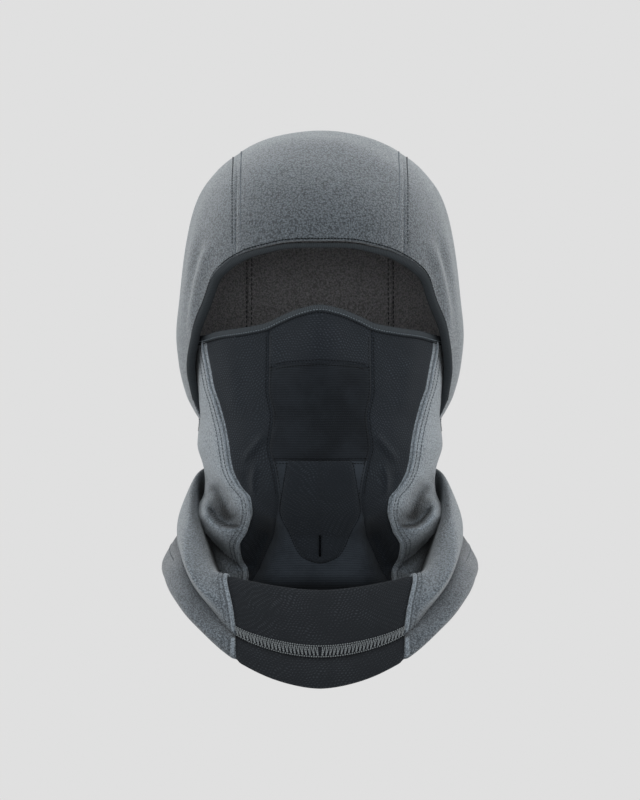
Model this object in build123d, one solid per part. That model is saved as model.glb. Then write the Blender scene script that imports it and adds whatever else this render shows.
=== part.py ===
from build123d import *

import os

# A hinged fleece balaclava, in millimetres, as it sits on a wearer's head.
# +X is the wearer's left, +Y the back of the head and +Z up. The origin is the middle of the neck opening, level
# with the lowest point of the front hem. Three groups of cloth panels move against each other: the neck gaiter,
# the face mask, which turns down about two side tacks, and the hood, which tips back about the nape roll.
# Every panel is cut from a thin shell around a smooth form, so each one has its true place, outline and thickness.

os.makedirs("parts", exist_ok=True)

# Hood: an egg made of a half ellipsoid above upright ovals. A ring is (height, half width, front, back).
CROWN_TOP = 341.0
HOOD_EQUATOR = 258.0
HOOD_RINGS = [
    (HOOD_EQUATOR, 85.5, -97.0, 105.0),
    (240.0, 86.5, -96.0, 105.0),
    (220.0, 89.0, -93.0, 104.0),
    (195.0, 86.5, -88.0, 97.0),
    (178.0, 82.0, -82.0, 89.0),
    (168.0, 77.5, -77.0, 84.0),
    (155.0, 72.0, -72.0, 79.0),
]
HOOD_BOTTOM = 168.0
FLEECE = 2.6
LINING_GAP = 0.2
LINING = 1.4
HOOD_WALL = FLEECE + LINING_GAP + LINING
CROWN_HALF = 51.0
LINING_HALF = 47.0
# The edge of the face opening, seen from the side as (y, z), from in front of the brow down to the jaw.
FACE_EDGE = [
    (-130.0, 277.0),
    (-97.0, 275.5),
    (-76.0, 267.5),
    (-59.0, 255.0),
    (-45.0, 233.0),
    (-31.0, 209.0),
    (-15.0, 188.0),
    (-3.0, 164.0),
]
BINDING_SHIFT = (-3.8, -4.2)
BINDING_PROUD = 0.9

# Mask and jaw: layers of one form turned about the tack axis, so that the mask slides over the jaw.
TACK_Y = 6.0
TACK_Z = 160.0
TACK_RADIUS = 3.0
TACK_CLEARANCE = 0.1
MASK_HALF = 70.0
MASK_REACH = 116.0
MASK_WALL = 2.4
MASK_SLIDE = 0.5
MASK_BINDING_HEIGHT = 4.8
MASK_BINDING_PROUD = 0.8
NOSE_BOTTOM = 200.0
JAW_BOTTOM = 55.3
# The form's profile as (share of the half width, share of the reach), from the tack to the middle of the face.
MASK_PROFILE = [(1.0, 0.0), (0.995, 0.28), (0.97, 0.5), (0.89, 0.71), (0.74, 0.86), (0.5, 0.95), (0.0, 1.0)]
# Lines on the mask, seen from the front as (x, z) on the wearer's left half.
MASK_TOP = [(0.0, 235.5), (18.0, 231.5), (31.0, 223.5), (44.0, 219.0), (60.0, 217.5), (90.0, 212.0)]
PANEL_SEAM = [
    (36.0, 245.0),
    (35.5, 205.0),
    (31.5, 178.0),
    (31.0, 150.0),
    (28.0, 122.0),
    (28.5, 100.0),
    (34.0, 55.0),
]
FLEECE_SEAM = [
    (70.0, 250.0),
    (69.5, 214.0),
    (64.0, 181.0),
    (56.5, 150.0),
    (52.0, 133.0),
    (43.0, 117.0),
    (43.5, 103.0),
    (50.0, 87.0),
    (48.0, 55.0),
]
CHIN_SHIELD = [(22.0, 150.0), (25.0, 112.0), (19.0, 94.0), (9.0, 82.0), (0.0, 79.5)]
# Edges seen from the side as (y, z).
MASK_REAR = [(16.0, 260.0), (16.0, 200.0), (14.0, 149.0)]
MASK_LOW = [(-10.0, 158.0), (-130.0, 138.5)]
JAW_REAR = [(-8.0, 160.0), (-11.0, 142.0), (-18.0, 126.0), (-36.0, 98.0), (-52.0, 50.0)]
JAW_TOP_FRONT = (-130.0, 147.0)

# Nape: the inner back wall of the gaiter, ovals about the tack axis. A ring is (height, half width, back).
NAPE_RINGS = [(166.0, 74.5, 79.0), (150.0, 74.2, 77.0), (136.0, 73.8, 74.0), (120.0, 74.0, 74.0), (74.0, 75.0, 78.0)]
NAPE_TOP = 164.0
NAPE_WALL = 2.6
NAPE_LOW_BACK = (100.0, 106.0)
NAPE_FRONT = [(-5.0, 180.0), (-5.0, 148.0), (-11.0, 124.0), (-28.0, 94.0), (-44.0, 62.0)]
ROLL_Y = 81.8
ROLL_Z = 166.0
ROLL_RADIUS = 1.5
ROLL_LENGTH = 40.0

# Collar: the turned-down outside of the gaiter. A ring is (height, half width, front, back).
COLLAR_RINGS = [
    (142.0, 77.5, -72.0, 84.0),
    (131.0, 79.5, -80.0, 86.5),
    (110.0, 85.5, -92.0, 92.0),
    (90.0, 90.0, -99.0, 97.0),
    (72.0, 93.0, -104.0, 100.0),
    (40.0, 97.0, -109.0, 104.0),
    (-8.0, 101.0, -113.0, 107.0),
]
COLLAR_WALL = 3.2
HEM_PROUD = 3.4
HEM_WALL = 4.6
HEM_GAP = 0.1
BIB_HALF = 53.0
FOLD_TOP = 55.2
FOLD_WALL = 2.7
FOLD_GAP = 0.1
FOLD_DROP = 1.0
FOLD_FRONT = -30.0
# Lines round the collar, seen from the side as (y, z), from the chest to the back of the neck.
COLLAR_RIM = [
    (-135.0, 65.0),
    (-102.0, 65.5),
    (-78.0, 76.0),
    (-62.0, 92.0),
    (-39.0, 116.0),
    (-8.0, 131.0),
    (45.0, 136.0),
    (125.0, 137.0),
]
HEM_STITCH = [
    (-135.0, 19.0),
    (-110.0, 20.5),
    (-92.0, 32.0),
    (-68.0, 54.0),
    (-42.0, 72.0),
    (-10.0, 87.0),
    (45.0, 103.0),
    (125.0, 112.0),
]
HEM_EDGE = [
    (-135.0, -6.0),
    (-114.0, -3.0),
    (-98.0, 12.0),
    (-66.0, 41.0),
    (-30.0, 61.0),
    (5.0, 75.0),
    (60.0, 89.0),
    (125.0, 94.0),
]

# The ladder stitching lies on the bib.
THREAD_LOW = 0.1
THREAD_HIGH = 0.8
STITCH_HEIGHT = 6.0
FAR = 400.0


def oval(height, half_width, front, back, inset):
    """A horizontal oval between a front and a back, drawn in by inset."""
    face = Ellipse(half_width - inset, (back - front) / 2 - inset)
    return Pos(0, (front + back) / 2, height) * face


def ovals(rings, inset):
    """A solid through horizontal ovals."""
    return loft([oval(*ring, inset) for ring in sorted(rings)])


def about_tacks(rings):
    """Rings whose ovals are centred on the tack axis, from (height, half width, back)."""
    return [(height, half_width, 2 * TACK_Y - back, back) for height, half_width, back in rings]


def hood_form(inset):
    """The outside of the hood drawn in by inset, down past its lower edge."""
    _, half_width, front, back = HOOD_RINGS[0]
    radii = (half_width - inset, (back - front) / 2 - inset, CROWN_TOP - HOOD_EQUATOR - inset)
    ball = scale(Sphere(1.0), by=radii)
    cap = Pos(0, (front + back) / 2, HOOD_EQUATOR) * split(ball, bisect_by=Plane.XY, keep=Keep.TOP)
    return cap + ovals(HOOD_RINGS, inset)


def mask_form(inset):
    """The outside of the mask, turned about the tack axis and drawn in by inset."""
    half_width = MASK_HALF - inset
    reach = MASK_REACH - inset
    right = [(-half_width * a, reach * b) for a, b in MASK_PROFILE]
    left = [(half_width * a, reach * b) for a, b in reversed(MASK_PROFILE[:-1])]
    curve = Spline(*right, *left, tangents=[(0, 1), (0, -1)])
    face = make_face(curve + Line((half_width, 0), (-half_width, 0)))
    return Pos(0, TACK_Y, TACK_Z) * revolve(face, Axis.X, 360)


def nape_form(inset):
    """The outside of the nape wall, all the way round, drawn in by inset."""
    return ovals(about_tacks(NAPE_RINGS), inset)


def collar_form(inset):
    """The outside of the collar drawn in by inset."""
    return ovals(COLLAR_RINGS, inset)


def shell(form, outside, inside):
    """The layer of a form between two insets."""
    return form(outside) - form(inside)


def outline(line, *corners):
    """A flat face bounded by a smooth line and then straight runs through the corners."""
    curve = Spline(*line)
    ring = [line[-1], *corners, line[0]]
    return make_face(curve + Polyline(*ring))


def between(line_a, line_b):
    """A flat face between two smooth lines that run the same way."""
    curves = Spline(*line_a) + Spline(*line_b)
    return make_face(curves + Line(line_a[0], line_b[0]) + Line(line_a[-1], line_b[-1]))


def moved(line, across, up):
    return [(a + across, b + up) for a, b in line]


def from_side(face):
    """A (y, z) face as a block that runs across the whole part."""
    return extrude(Plane.YZ * face, amount=FAR, both=True)


def from_front(face):
    """An (x, z) face as a block that runs from front to back through the whole part."""
    return extrude(Plane.XZ * face, amount=FAR, both=True)


def block(x, y, z):
    """A box between three (low, high) pairs."""
    size = [high - low for low, high in (x, y, z)]
    centre = [(high + low) / 2 for low, high in (x, y, z)]
    return Pos(*centre) * Box(*size)


def mirrored(shape):
    return mirror(shape, about=Plane.YZ)


def save(name, shape):
    """Writes one node, once it is known to be whole."""
    solids = shape.solids()
    assert solids, name
    export_step(Compound(solids) if len(solids) > 1 else solids[0], f"parts/{name}.step")
    print(name, len(solids), round(sum(s.volume for s in solids)), flush=True)


def save_pair(name, left):
    save(f"{name}_left", left)
    save(f"{name}_right", mirrored(left))


def make_hood():
    """Outer fleece, lining and edge binding."""
    behind_edge = from_side(outline(FACE_EDGE, (FAR, HOOD_BOTTOM - 4), (FAR, FAR), (-130.0, FAR)))
    above_neck = block((-FAR, FAR), (-FAR, FAR), (HOOD_BOTTOM, FAR))
    kept = behind_edge & above_neck
    fleece = shell(hood_form, 0, FLEECE) & kept
    save("crown_panel", fleece & block((-CROWN_HALF, CROWN_HALF), (-FAR, FAR), (0, FAR)))
    save_pair("hood_side", fleece & block((CROWN_HALF, FAR), (-FAR, FAR), (0, FAR)))
    lining = shell(hood_form, FLEECE + LINING_GAP, HOOD_WALL) & kept
    save("crown_lining", lining & block((-LINING_HALF, LINING_HALF), (-FAR, FAR), (0, FAR)))
    save_pair("side_lining", lining & block((LINING_HALF, FAR), (-FAR, FAR), (0, FAR)))
    band = from_side(between(FACE_EDGE, moved(FACE_EDGE, *BINDING_SHIFT))) & above_neck
    save("brow_binding", shell(hood_form, -BINDING_PROUD, HOOD_WALL + BINDING_PROUD) & band)


def save_face_panels(half, knit_names, knit_zones, cheek_name, side_name):
    """Panels of one layer of the face: knit ones that cross the middle, then a cheek and a fleece strip a side."""
    for name, zone in zip(knit_names, knit_zones):
        left = half & zone
        save(name, left + mirrored(left))
    save_pair(cheek_name, half & from_front(between(PANEL_SEAM, FLEECE_SEAM)))
    save_pair(side_name, half & from_front(outline(FLEECE_SEAM, (90.0, 55.0), (90.0, 250.0))))


def make_mask():
    """The mask, which turns about the tacks, and the jaw that it slides over."""
    inner = from_front(outline(PANEL_SEAM, (0.0, 55.0), (0.0, 245.0)))
    lowered = moved(MASK_TOP, 0, -MASK_BINDING_HEIGHT)
    below_binding = from_front(outline(lowered, (90.0, 0.0), (0.0, 0.0)))
    before_rear = from_side(outline(MASK_REAR, *MASK_LOW, (-130.0, 260.0)))
    hole = Pos(0, TACK_Y, TACK_Z) * Rot(0, 90, 0) * Cylinder(TACK_RADIUS + TACK_CLEARANCE, FAR)
    mask = (shell(mask_form, 0, MASK_WALL) & below_binding & before_rear) - hole
    nose = inner & block((0, FAR), (-FAR, 0), (NOSE_BOTTOM, FAR))
    mouth = inner & block((0, FAR), (-FAR, 0), (0, NOSE_BOTTOM))
    save_face_panels(mask, ["nose_panel", "mouth_panel"], [nose, mouth], "cheek_panel", "mask_side")
    band = from_front(between(MASK_TOP, lowered)) & before_rear
    tape = shell(mask_form, -MASK_BINDING_PROUD, MASK_WALL) & band
    save("mask_binding", tape + mirrored(tape))
    under = MASK_WALL + MASK_SLIDE
    jaw_zone = from_side(outline(JAW_REAR, (-130.0, 50.0), JAW_TOP_FRONT))
    jaw = shell(mask_form, under, under + MASK_WALL) & jaw_zone & block((0, FAR), (-FAR, FAR), (JAW_BOTTOM, FAR))
    shield = from_front(outline(CHIN_SHIELD, (0.0, 150.0)))
    save_face_panels(jaw, ["chin_panel", "throat_panel"], [inner & shield, inner - shield], "jaw_panel", "jaw_side")


def make_nape():
    """The gaiter's inner back wall, the side tacks that the mask turns on, and the roll that the hood tips on."""
    zone = from_side(outline(NAPE_FRONT, NAPE_LOW_BACK, (100.0, 180.0)))
    wall = shell(nape_form, 0, NAPE_WALL) & zone & block((-FAR, FAR), (-FAR, FAR), (0, NAPE_TOP))
    tack_line = Pos(0, TACK_Y, TACK_Z) * Rot(0, 90, 0)
    save("nape_panel", wall - tack_line * Cylinder(TACK_RADIUS, FAR))
    tack_low = MASK_HALF - MASK_WALL - 1
    tack_high = NAPE_RINGS[0][1] + 1
    tack = Cylinder(TACK_RADIUS, tack_high - tack_low)
    save_pair("hinge_tack", Pos((tack_low + tack_high) / 2, 0, 0) * tack_line * tack)
    save("nape_roll", Pos(0, ROLL_Y, ROLL_Z) * Rot(0, 90, 0) * Cylinder(ROLL_RADIUS, ROLL_LENGTH))


def make_folds():
    """Cloth that joins the collar to the jaw in front and to the nape wall behind."""
    inside_collar = collar_form(COLLAR_WALL + FOLD_GAP)
    floor = block((-BIB_HALF, BIB_HALF), (-FAR, -45.0), (FOLD_TOP - FOLD_WALL, FOLD_TOP))
    save("fold_front", (inside_collar & floor) - mask_form(MASK_SLIDE + 2 * MASK_WALL))
    rim = from_side(between(moved(COLLAR_RIM, 0, -FOLD_DROP), moved(COLLAR_RIM, 0, -FOLD_DROP - FOLD_WALL)))
    behind = block((0, FAR), (FOLD_FRONT, FAR), (0, FAR))
    turned_mask = mask_form(-MASK_SLIDE) & block((-FAR, FAR), (-FAR, TACK_Y), (0, FAR))
    ring = inside_collar - nape_form(-FOLD_GAP) - turned_mask
    save_pair("fold", ring & rim & behind)


def make_collar():
    """The turned-down collar, its hem band and the ladder stitching across the bib."""
    wall = shell(collar_form, 0, COLLAR_WALL) & from_side(between(COLLAR_RIM, HEM_STITCH))
    bib_zone = block((-BIB_HALF, BIB_HALF), (-FAR, 0), (-FAR, FAR))
    left_zone = block((0, FAR), (-FAR, FAR), (-FAR, FAR)) - bib_zone
    save("bib_panel", wall & bib_zone)
    save_pair("collar", wall & left_zone)
    hem_zone = from_side(between(moved(HEM_STITCH, 0, -HEM_GAP), HEM_EDGE))
    hem = shell(collar_form, -HEM_PROUD, HEM_WALL - HEM_PROUD) & hem_zone
    save("hem_front", hem & bib_zone)
    save_pair("hem", hem & left_zone)
    ladder = between(moved(HEM_STITCH, 0, STITCH_HEIGHT), moved(HEM_STITCH, 0, HEM_GAP))
    save("hem_stitch", shell(collar_form, -THREAD_HIGH, -THREAD_LOW) & from_side(ladder) & bib_zone)


make_hood()
make_mask()
make_nape()
make_folds()
make_collar()
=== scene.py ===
"""The looks of a hinged balaclava: fleece hood, knit face mask and turned-down neck gaiter.

Shapes are worked out in millimetres, with +X the wearer's left, +Y the back of the head and +Z up.
Every mesh is written in metres. A panel is a grid over the hood, the tube, the collar or the hem, pinched
along its seams and given the thickness of its cloth. One half is drawn, and the other is its mirror image.
"""

import math

import bmesh
import bpy
import numpy as np
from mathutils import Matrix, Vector


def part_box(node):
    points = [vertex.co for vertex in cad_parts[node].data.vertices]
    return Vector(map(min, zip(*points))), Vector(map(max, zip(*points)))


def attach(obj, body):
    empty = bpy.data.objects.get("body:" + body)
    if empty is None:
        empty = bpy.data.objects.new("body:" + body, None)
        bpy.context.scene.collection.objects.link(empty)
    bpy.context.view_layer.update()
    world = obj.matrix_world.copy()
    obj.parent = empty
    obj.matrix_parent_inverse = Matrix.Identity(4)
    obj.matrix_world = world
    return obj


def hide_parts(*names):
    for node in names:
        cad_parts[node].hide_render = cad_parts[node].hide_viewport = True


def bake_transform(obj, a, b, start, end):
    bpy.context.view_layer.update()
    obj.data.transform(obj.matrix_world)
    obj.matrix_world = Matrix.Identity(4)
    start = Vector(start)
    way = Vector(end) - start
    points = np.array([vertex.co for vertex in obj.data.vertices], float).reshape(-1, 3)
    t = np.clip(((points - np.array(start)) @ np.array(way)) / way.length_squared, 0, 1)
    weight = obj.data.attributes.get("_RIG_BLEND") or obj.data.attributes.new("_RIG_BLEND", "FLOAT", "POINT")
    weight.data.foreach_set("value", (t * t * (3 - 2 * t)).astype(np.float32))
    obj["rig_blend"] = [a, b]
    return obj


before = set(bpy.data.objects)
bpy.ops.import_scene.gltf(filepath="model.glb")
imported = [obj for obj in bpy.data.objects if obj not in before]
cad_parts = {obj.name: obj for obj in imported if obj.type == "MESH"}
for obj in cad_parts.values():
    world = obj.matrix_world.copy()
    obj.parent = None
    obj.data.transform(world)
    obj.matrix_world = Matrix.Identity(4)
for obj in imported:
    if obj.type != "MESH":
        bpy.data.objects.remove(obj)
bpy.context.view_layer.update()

MM = 0.001
# From one rib of a tape to the next, in metres.
TAPE_RIB = 0.0011

# The stage: the grey of the floor and background, and where the camera stands, in metres.
BACKDROP = 0.745
CAMERA_AWAY = 8.0
CAMERA_HEIGHT = 0.175
VIEW_HEIGHT = 0.488
FLOOR_REACH = 40.0
FLOOR_HEIGHT = -0.012

# Cloth thickness.
FLEECE = 2.4
KNIT = 1.5
LINING = 1.2
# How far a panel's cut edge bulges, as a share of its thickness.
RIM_ROUND = 0.32

# Hood: half width, front reach and back reach at each height, measured from HOOD_Y.
HOOD_Y = 5.0
HOOD_SQUARENESS = 2.15
HOOD_WIDTH = [
    (140, 68.0), (150, 70.0), (163, 73.8), (168, 76.6), (178, 81.4), (197, 86.0), (215, 87.8),
    (236, 85.8), (262, 83.2), (280, 79.8), (300, 73.0), (314.5, 62.8), (324, 51.5), (334, 33.0),
    (339, 0.0),
]
HOOD_FRONT = [
    (140, 74.0), (163, 81.0), (197, 92.0), (236, 101.0), (262, 104.0), (280, 101.5), (300, 92.0),
    (314.5, 79.0), (324, 65.0), (334, 42.0), (339, 0.0),
]
HOOD_BACK = [
    (140, 72.0), (163, 77.0), (178, 84.0), (197, 91.0), (215, 97.0), (236, 100.0), (262, 100.0), (280, 97.0),
    (300, 88.0), (314.5, 76.0), (324, 62.0), (334, 40.0), (339, 0.0),
]
# The hood's arches all start and end at the jaw, where the face edge meets the neck.
JAW = np.array([0.0, -13.0, 163.0])
# The middle of the edge tape, seen from the front as (half width, height).
FACE_EDGE = [
    (0, 268.4), (28, 266.6), (48, 260.8), (57, 255.6), (65.3, 246.4), (71, 231.4), (77.6, 211.3), (80, 193),
    (77.8, 177), (72.3, 164.5),
]
RIM_ANGLE = 181.0
BINDING_WIDTH = 4.8
CROWN_SEAM = 50.5
LINING_SEAM = 46.0
SEAM_GAP = 5.0

# Tube: the mask and the neck under it. Half width, front reach, nose height and back reach from TUBE_Y.
TUBE_Y = 6.0
TUBE_SQUARENESS = 2.3
TUBE_WIDTH = [
    (50, 60.0), (62, 62.5), (70, 65.5), (78, 68.0), (86, 70.0), (95, 71.8), (104, 73.4), (110, 73.7),
    (118, 70.6), (126, 69.9), (134, 71.0), (148, 74.8), (163, 73.4), (175, 75.2), (190, 76.4),
    (213, 75.8), (240, 72.5),
]
TUBE_FRONT = [
    (50, 82.0), (62, 80.0), (72, 77.0), (82, 77.5), (92, 82.0), (102, 90.0), (112, 99.5), (122, 107.5),
    (135, 111.0), (150, 111.5), (170, 109.5), (190, 105.5), (212, 101.0), (240, 95.0),
]
NOSE = [(140, 0.0), (165, 1.0), (178, 3.5), (188, 9.0), (198, 14.5), (210, 16.0), (222, 14.0), (240, 8.0)]
NOSE_WIDTH = 21.0
TUBE_BACK = [(50, 70.0), (118, 67.0), (134, 66.0), (150, 69.0), (163, 71.0), (180, 74.0)]
TUBE_TOP_BACK = 172.0
# The height of the tube's lower edge at each angle round it. It stays above the collar's underside.
TUBE_FLOOR = [(0, 45.0), (70, 46.0), (80, 60.0), (86, 78.0), (90, 91.0), (95, 98.0)]
# Seams on the tube, as (height, half width), and lines across them, as (half width, height).
PANEL_SEAM = [
    (76, 0.0), (78, 6.0), (83, 12.0), (95, 18.5), (108, 23.6), (116, 25.0), (125, 26.2), (138, 28.8),
    (146, 30.6), (165, 28.6), (181, 31.3), (206, 31.0), (240, 31.0),
]
THROAT_EDGE = [(50, 47.0), (66, 43.0), (80, 36.5), (95, 29.5), (108, 25.6), (116, 25.0)]
FLEECE_SEAM = [
    (50, 43.5), (69, 46.0), (78, 49.3), (87, 48.6), (97, 44.0), (107, 41.2), (115, 42.2), (123.5, 48.6),
    (135, 53.6), (153, 56.4), (173, 61.2), (183, 64.6), (195, 67.0), (208, 69.2), (240, 70.0),
]
MASK_TOP = [
    (-12, 228.2), (0, 230.6), (12, 228.2), (23, 223.8), (33, 219.2), (48, 216.4), (60, 214.8),
    (74, 211.6), (90, 211.0),
]
NOSE_SEAM = [(0, 197.8), (20, 196.4), (35, 193.0)]
MOUTH_SEAM = [(0, 138.0), (35, 138.4)]
SHIELD_EDGE = [(76, 0.0), (78, 6.0), (81, 11.0), (95, 18.2), (108, 23.8), (124, 21.6), (140, 18.8)]
CHIN_LIFT = 1.1
# Folds beside the jaw, seen from the front as (half width, height).
VALLEY = [(74, 132), (68, 127.5), (62.5, 122), (57.5, 113), (55, 104)]
POUCH = [(67.5, 124), (61.5, 117), (56, 109), (52, 102)]
SMILE = [(46, 98.6), (53, 97.9), (58, 98.6), (62, 101.2), (65.6, 105.8), (69.4, 112.6)]
ROLL = [(73, 116), (71.5, 105), (66, 96), (57, 90.5), (47, 89)]
UNDER_ROLL = [(71, 90), (64.5, 83.5), (58, 78), (51, 72), (46, 66)]
ROLL_EDGE = [(71.6, 119), (74, 114), (75.4, 108.5), (74, 101.8), (70, 94.6), (64, 87.8), (58, 81.8), (51, 77)]
SIDE_END = 93.0

# Collar: rows of points from inside the fold, over its crest and down to the hem, each from chest to nape.
COLLAR = [
    [(0, -71, 46), (26, -67, 47), (44, -47, 50), (54, -30, 57), (61, -14, 72), (68, 3, 93),
     (70, 22, 108), (49, 60, 112), (0, 72, 112)],
    [(0, -94, 54), (26, -92, 56), (50, -82, 60), (59.5, -66, 67), (67, -44, 85), (72.5, -16, 106),
     (71.6, 20, 123), (52, 66, 127), (0, 80, 128)],
    [(0, -101, 60.5), (27, -99, 63), (54.5, -90, 69), (65, -77, 75), (71.9, -56, 95),
     (75.4, -27, 111.5), (72.9, 20, 131), (54, 72, 134), (0, 86, 135)],
    [(0, -106, 57), (28, -104, 60), (56, -97, 66), (68.5, -88, 73), (77.8, -68, 92), (80, -36, 109.5),
     (77, 20, 127), (57, 77, 131), (0, 91, 132)],
    [(0, -111, 41), (27.5, -109, 44), (52.5, -104, 50), (71, -101, 60), (82.5, -83, 79),
     (85.6, -42, 95), (83.5, 20, 109), (61, 83, 118), (0, 99, 121)],
    [(0, -112, 19.5), (26, -109.5, 23), (50.6, -104, 33), (66.5, -89, 50), (78, -69, 65),
     (84.5, -36, 80), (86.5, 20, 92), (63, 84, 103), (0, 102, 108)],
]
HEM = [
    [(0, -108, 22), (26, -106, 26), (50, -99, 36), (65, -84, 54), (76, -63, 70), (82.5, -33, 86),
     (84, 20, 95), (60, 82, 106), (0, 98, 111)],
    [(0, -112.6, 18.5), (26, -110.4, 22), (50.8, -104.5, 32), (68, -90, 50), (80, -71, 65),
     (86, -37, 80), (88, 20, 91), (65, 86, 102), (0, 104, 107)],
    [(0, -116, 9.3), (27, -113, 13.8), (51, -107, 26), (74.5, -97, 43), (87.5, -76, 58),
     (94.2, -38, 71.5), (93.6, 20, 80), (69, 91, 93), (0, 109, 99)],
    [(0, -114.5, 1.8), (26, -112.5, 6.4), (50.7, -105.5, 18.2), (76, -94, 39.5), (88, -71, 54.5),
     (93.6, -38, 65.5), (93.4, 20, 73), (69, 91.5, 87), (0, 109.5, 92)],
    [(0, -110, 2.4), (25.5, -107.5, 7.6), (49.3, -101, 20), (74, -88, 41.5), (85.5, -66, 56.5),
     (90, -36, 68.5), (91, 20, 76), (65, 87, 88), (0, 104, 93)],
]
BIB_STATION = 2.0
LAST_STATION = 8.0
LADDER_ROWS = (4.66, 4.95)
# The height where the throat panel's sides leave the panel seams.
THROAT_TOP = 116
# The side of a collar grid, from its station and row directions, that faces out of the fold.
OUT = -1


def table(points, x):
    """A smooth line through (x, y) points that never swings past them."""
    xs, ys = np.array(points, float).T
    steps, rises = np.diff(xs), np.diff(ys)
    slopes = rises / steps
    left, right = slopes[:-1], slopes[1:]
    inner = np.where(left * right > 0, 2 * left * right / np.where(left + right == 0, 1, left + right), 0.0)
    ends = np.concatenate([[slopes[0]], inner, [slopes[-1]]])
    x = np.clip(x, xs[0], xs[-1])
    i = np.clip(np.searchsorted(xs, x) - 1, 0, len(xs) - 2)
    t = (x - xs[i]) / steps[i]
    a, b = ys[i], ys[i + 1]
    p, q = ends[i] * steps[i], ends[i + 1] * steps[i]
    return a + t * (p + t * (3 * (b - a) - 2 * p - q + t * (p + q - 2 * (b - a))))


def reach(points, z):
    """A half width that closes roundly to nothing at the top of its table."""
    squared = [(height, size * size) for height, size in points]
    return np.sqrt(np.maximum(table(squared, z), 1e-4))


def step_weights(t, count):
    """For places t on a row of count points: each one's first point and its four smooth weights."""
    i = np.clip(np.floor(t).astype(int), 0, count - 2)
    f = t - i
    weights = (
        -0.5 * f + f**2 - 0.5 * f**3,
        1 - 2.5 * f**2 + 1.5 * f**3,
        0.5 * f + 2 * f**2 - 1.5 * f**3,
        -0.5 * f**2 + 0.5 * f**3,
    )
    return i, weights


def net(rows, station, row):
    """A point on the smooth cloth through rows of points, square to the middle plane at its ends."""
    points = np.array(rows, float)
    mirror = np.array([-1, 1, 1])
    points = np.concatenate([points[:, 1:2] * mirror, points, points[:, -2:-1] * mirror], axis=1)
    points = np.concatenate([2 * points[:1] - points[1:2], points, 2 * points[-1:] - points[-2:-1]], axis=0)
    i, along = step_weights(station, points.shape[1] - 2)
    j, across = step_weights(row, points.shape[0] - 2)
    total = 0.0
    for a in range(4):
        for b in range(4):
            total = total + (along[a] * across[b])[..., None] * points[j + b, i + a]
    return total


def wobble(p, size, reach_mm, seed):
    """Slow unevenness of soft cloth: a few crossing waves of about reach_mm, up to size."""
    random = np.random.default_rng(seed)
    total = 0.0
    for _ in range(7):
        direction = random.normal(size=3)
        direction *= 2 * math.pi / (reach_mm * random.uniform(0.7, 1.6) * np.linalg.norm(direction))
        total = total + np.sin(p @ direction + random.uniform(0, 2 * math.pi))
    return size * total / 3.5


def line_distance(x, z, line):
    """Distance from (x, z) to a line of straight runs, the share of the way along it, and the side."""
    best = np.full(np.shape(x), 1e9)
    along = np.zeros(np.shape(x))
    side = np.ones(np.shape(x))
    runs = list(zip(line[:-1], line[1:]))
    for number, ((x0, z0), (x1, z1)) in enumerate(runs):
        dx, dz = x1 - x0, z1 - z0
        t = np.clip(((x - x0) * dx + (z - z0) * dz) / (dx * dx + dz * dz), 0, 1)
        away = np.hypot(x - x0 - t * dx, z - z0 - t * dz)
        nearer = away < best
        best = np.where(nearer, away, best)
        along = np.where(nearer, (number + t) / len(runs), along)
        side = np.where(nearer, np.sign((x - x0) * dz - (z - z0) * dx), side)
    return best, along, side


def ridge(x, z, line, width, height):
    """A soft fold along a line, fading out at its ends. A negative height is a groove."""
    away, along, _ = line_distance(x, z, line)
    fade = np.clip(4 * along, 0, 1) * np.clip(4 * (1 - along), 0, 1)
    return height * fade * np.exp(-((away / width) ** 2))


def stroke(x, z, line, width):
    """1 along a line, falling to 0 beside it and at its very ends."""
    away, along, _ = line_distance(x, z, line)
    return np.clip(9 * along, 0, 1) * np.clip(9 * (1 - along), 0, 1) * np.exp(-((away / width) ** 2))


def tuck(x, z, line, width, height):
    """A lip along a line: cloth stands proud on its left side and sinks on its right, then both fade."""
    away, along, side = line_distance(x, z, line)
    fade = np.clip(5 * along, 0, 1) * np.clip(5 * (1 - along), 0, 1)
    lip = np.tanh(away / 0.7) * np.exp(-((away / width) ** 2))
    return -side * height * fade * lip


def hood_surface(out, lean):
    """Hood cloth at an angle out from the middle plane and a lean from straight ahead, both in degrees."""
    a, b = np.radians(out), np.radians(lean)
    ray = np.stack([np.sin(a), -np.cos(a) * np.cos(b), np.cos(a) * np.sin(b)], axis=-1)
    near, far = np.full(a.shape, 10.0), np.full(a.shape, 320.0)
    for _ in range(38):
        middle = (near + far) / 2
        p = JAW + ray * middle[..., None]
        y = p[..., 1] - HOOD_Y
        depth = np.where(y < 0, reach(HOOD_FRONT, p[..., 2]), reach(HOOD_BACK, p[..., 2]))
        width = reach(HOOD_WIDTH, p[..., 2])
        over = p[..., 2] > HOOD_WIDTH[-1][0]
        inside = np.abs(p[..., 0] / width) ** HOOD_SQUARENESS + np.abs(y / depth) ** HOOD_SQUARENESS < 1
        inside &= ~over
        near = np.where(inside, middle, near)
        far = np.where(inside, far, middle)
    return JAW + ray * near[..., None]


def face_edge_angles():
    """The face edge as (angle out, lean), found from where its front view meets the hood."""
    x, z = np.array(FACE_EDGE, float).T
    share = np.clip(x / reach(HOOD_WIDTH, z), 0, 0.999)
    y = HOOD_Y - reach(HOOD_FRONT, z) * (1 - share**HOOD_SQUARENESS) ** (1 / HOOD_SQUARENESS)
    from_jaw = np.stack([x, y, z], axis=1) - JAW
    out = np.degrees(np.arcsin(from_jaw[:, 0] / np.linalg.norm(from_jaw, axis=1)))
    lean = np.degrees(np.arctan2(from_jaw[:, 2], -from_jaw[:, 1]))
    out[-1], lean[-1] = 90.0, lean[-2]
    return [(-out[1], lean[1]), *zip(out, lean)]


def edge_lean(out):
    """The lean of the face edge at an angle out from the middle plane."""
    return table(EDGE_ANGLES, np.abs(out))


EDGE_ANGLES = face_edge_angles()


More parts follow.
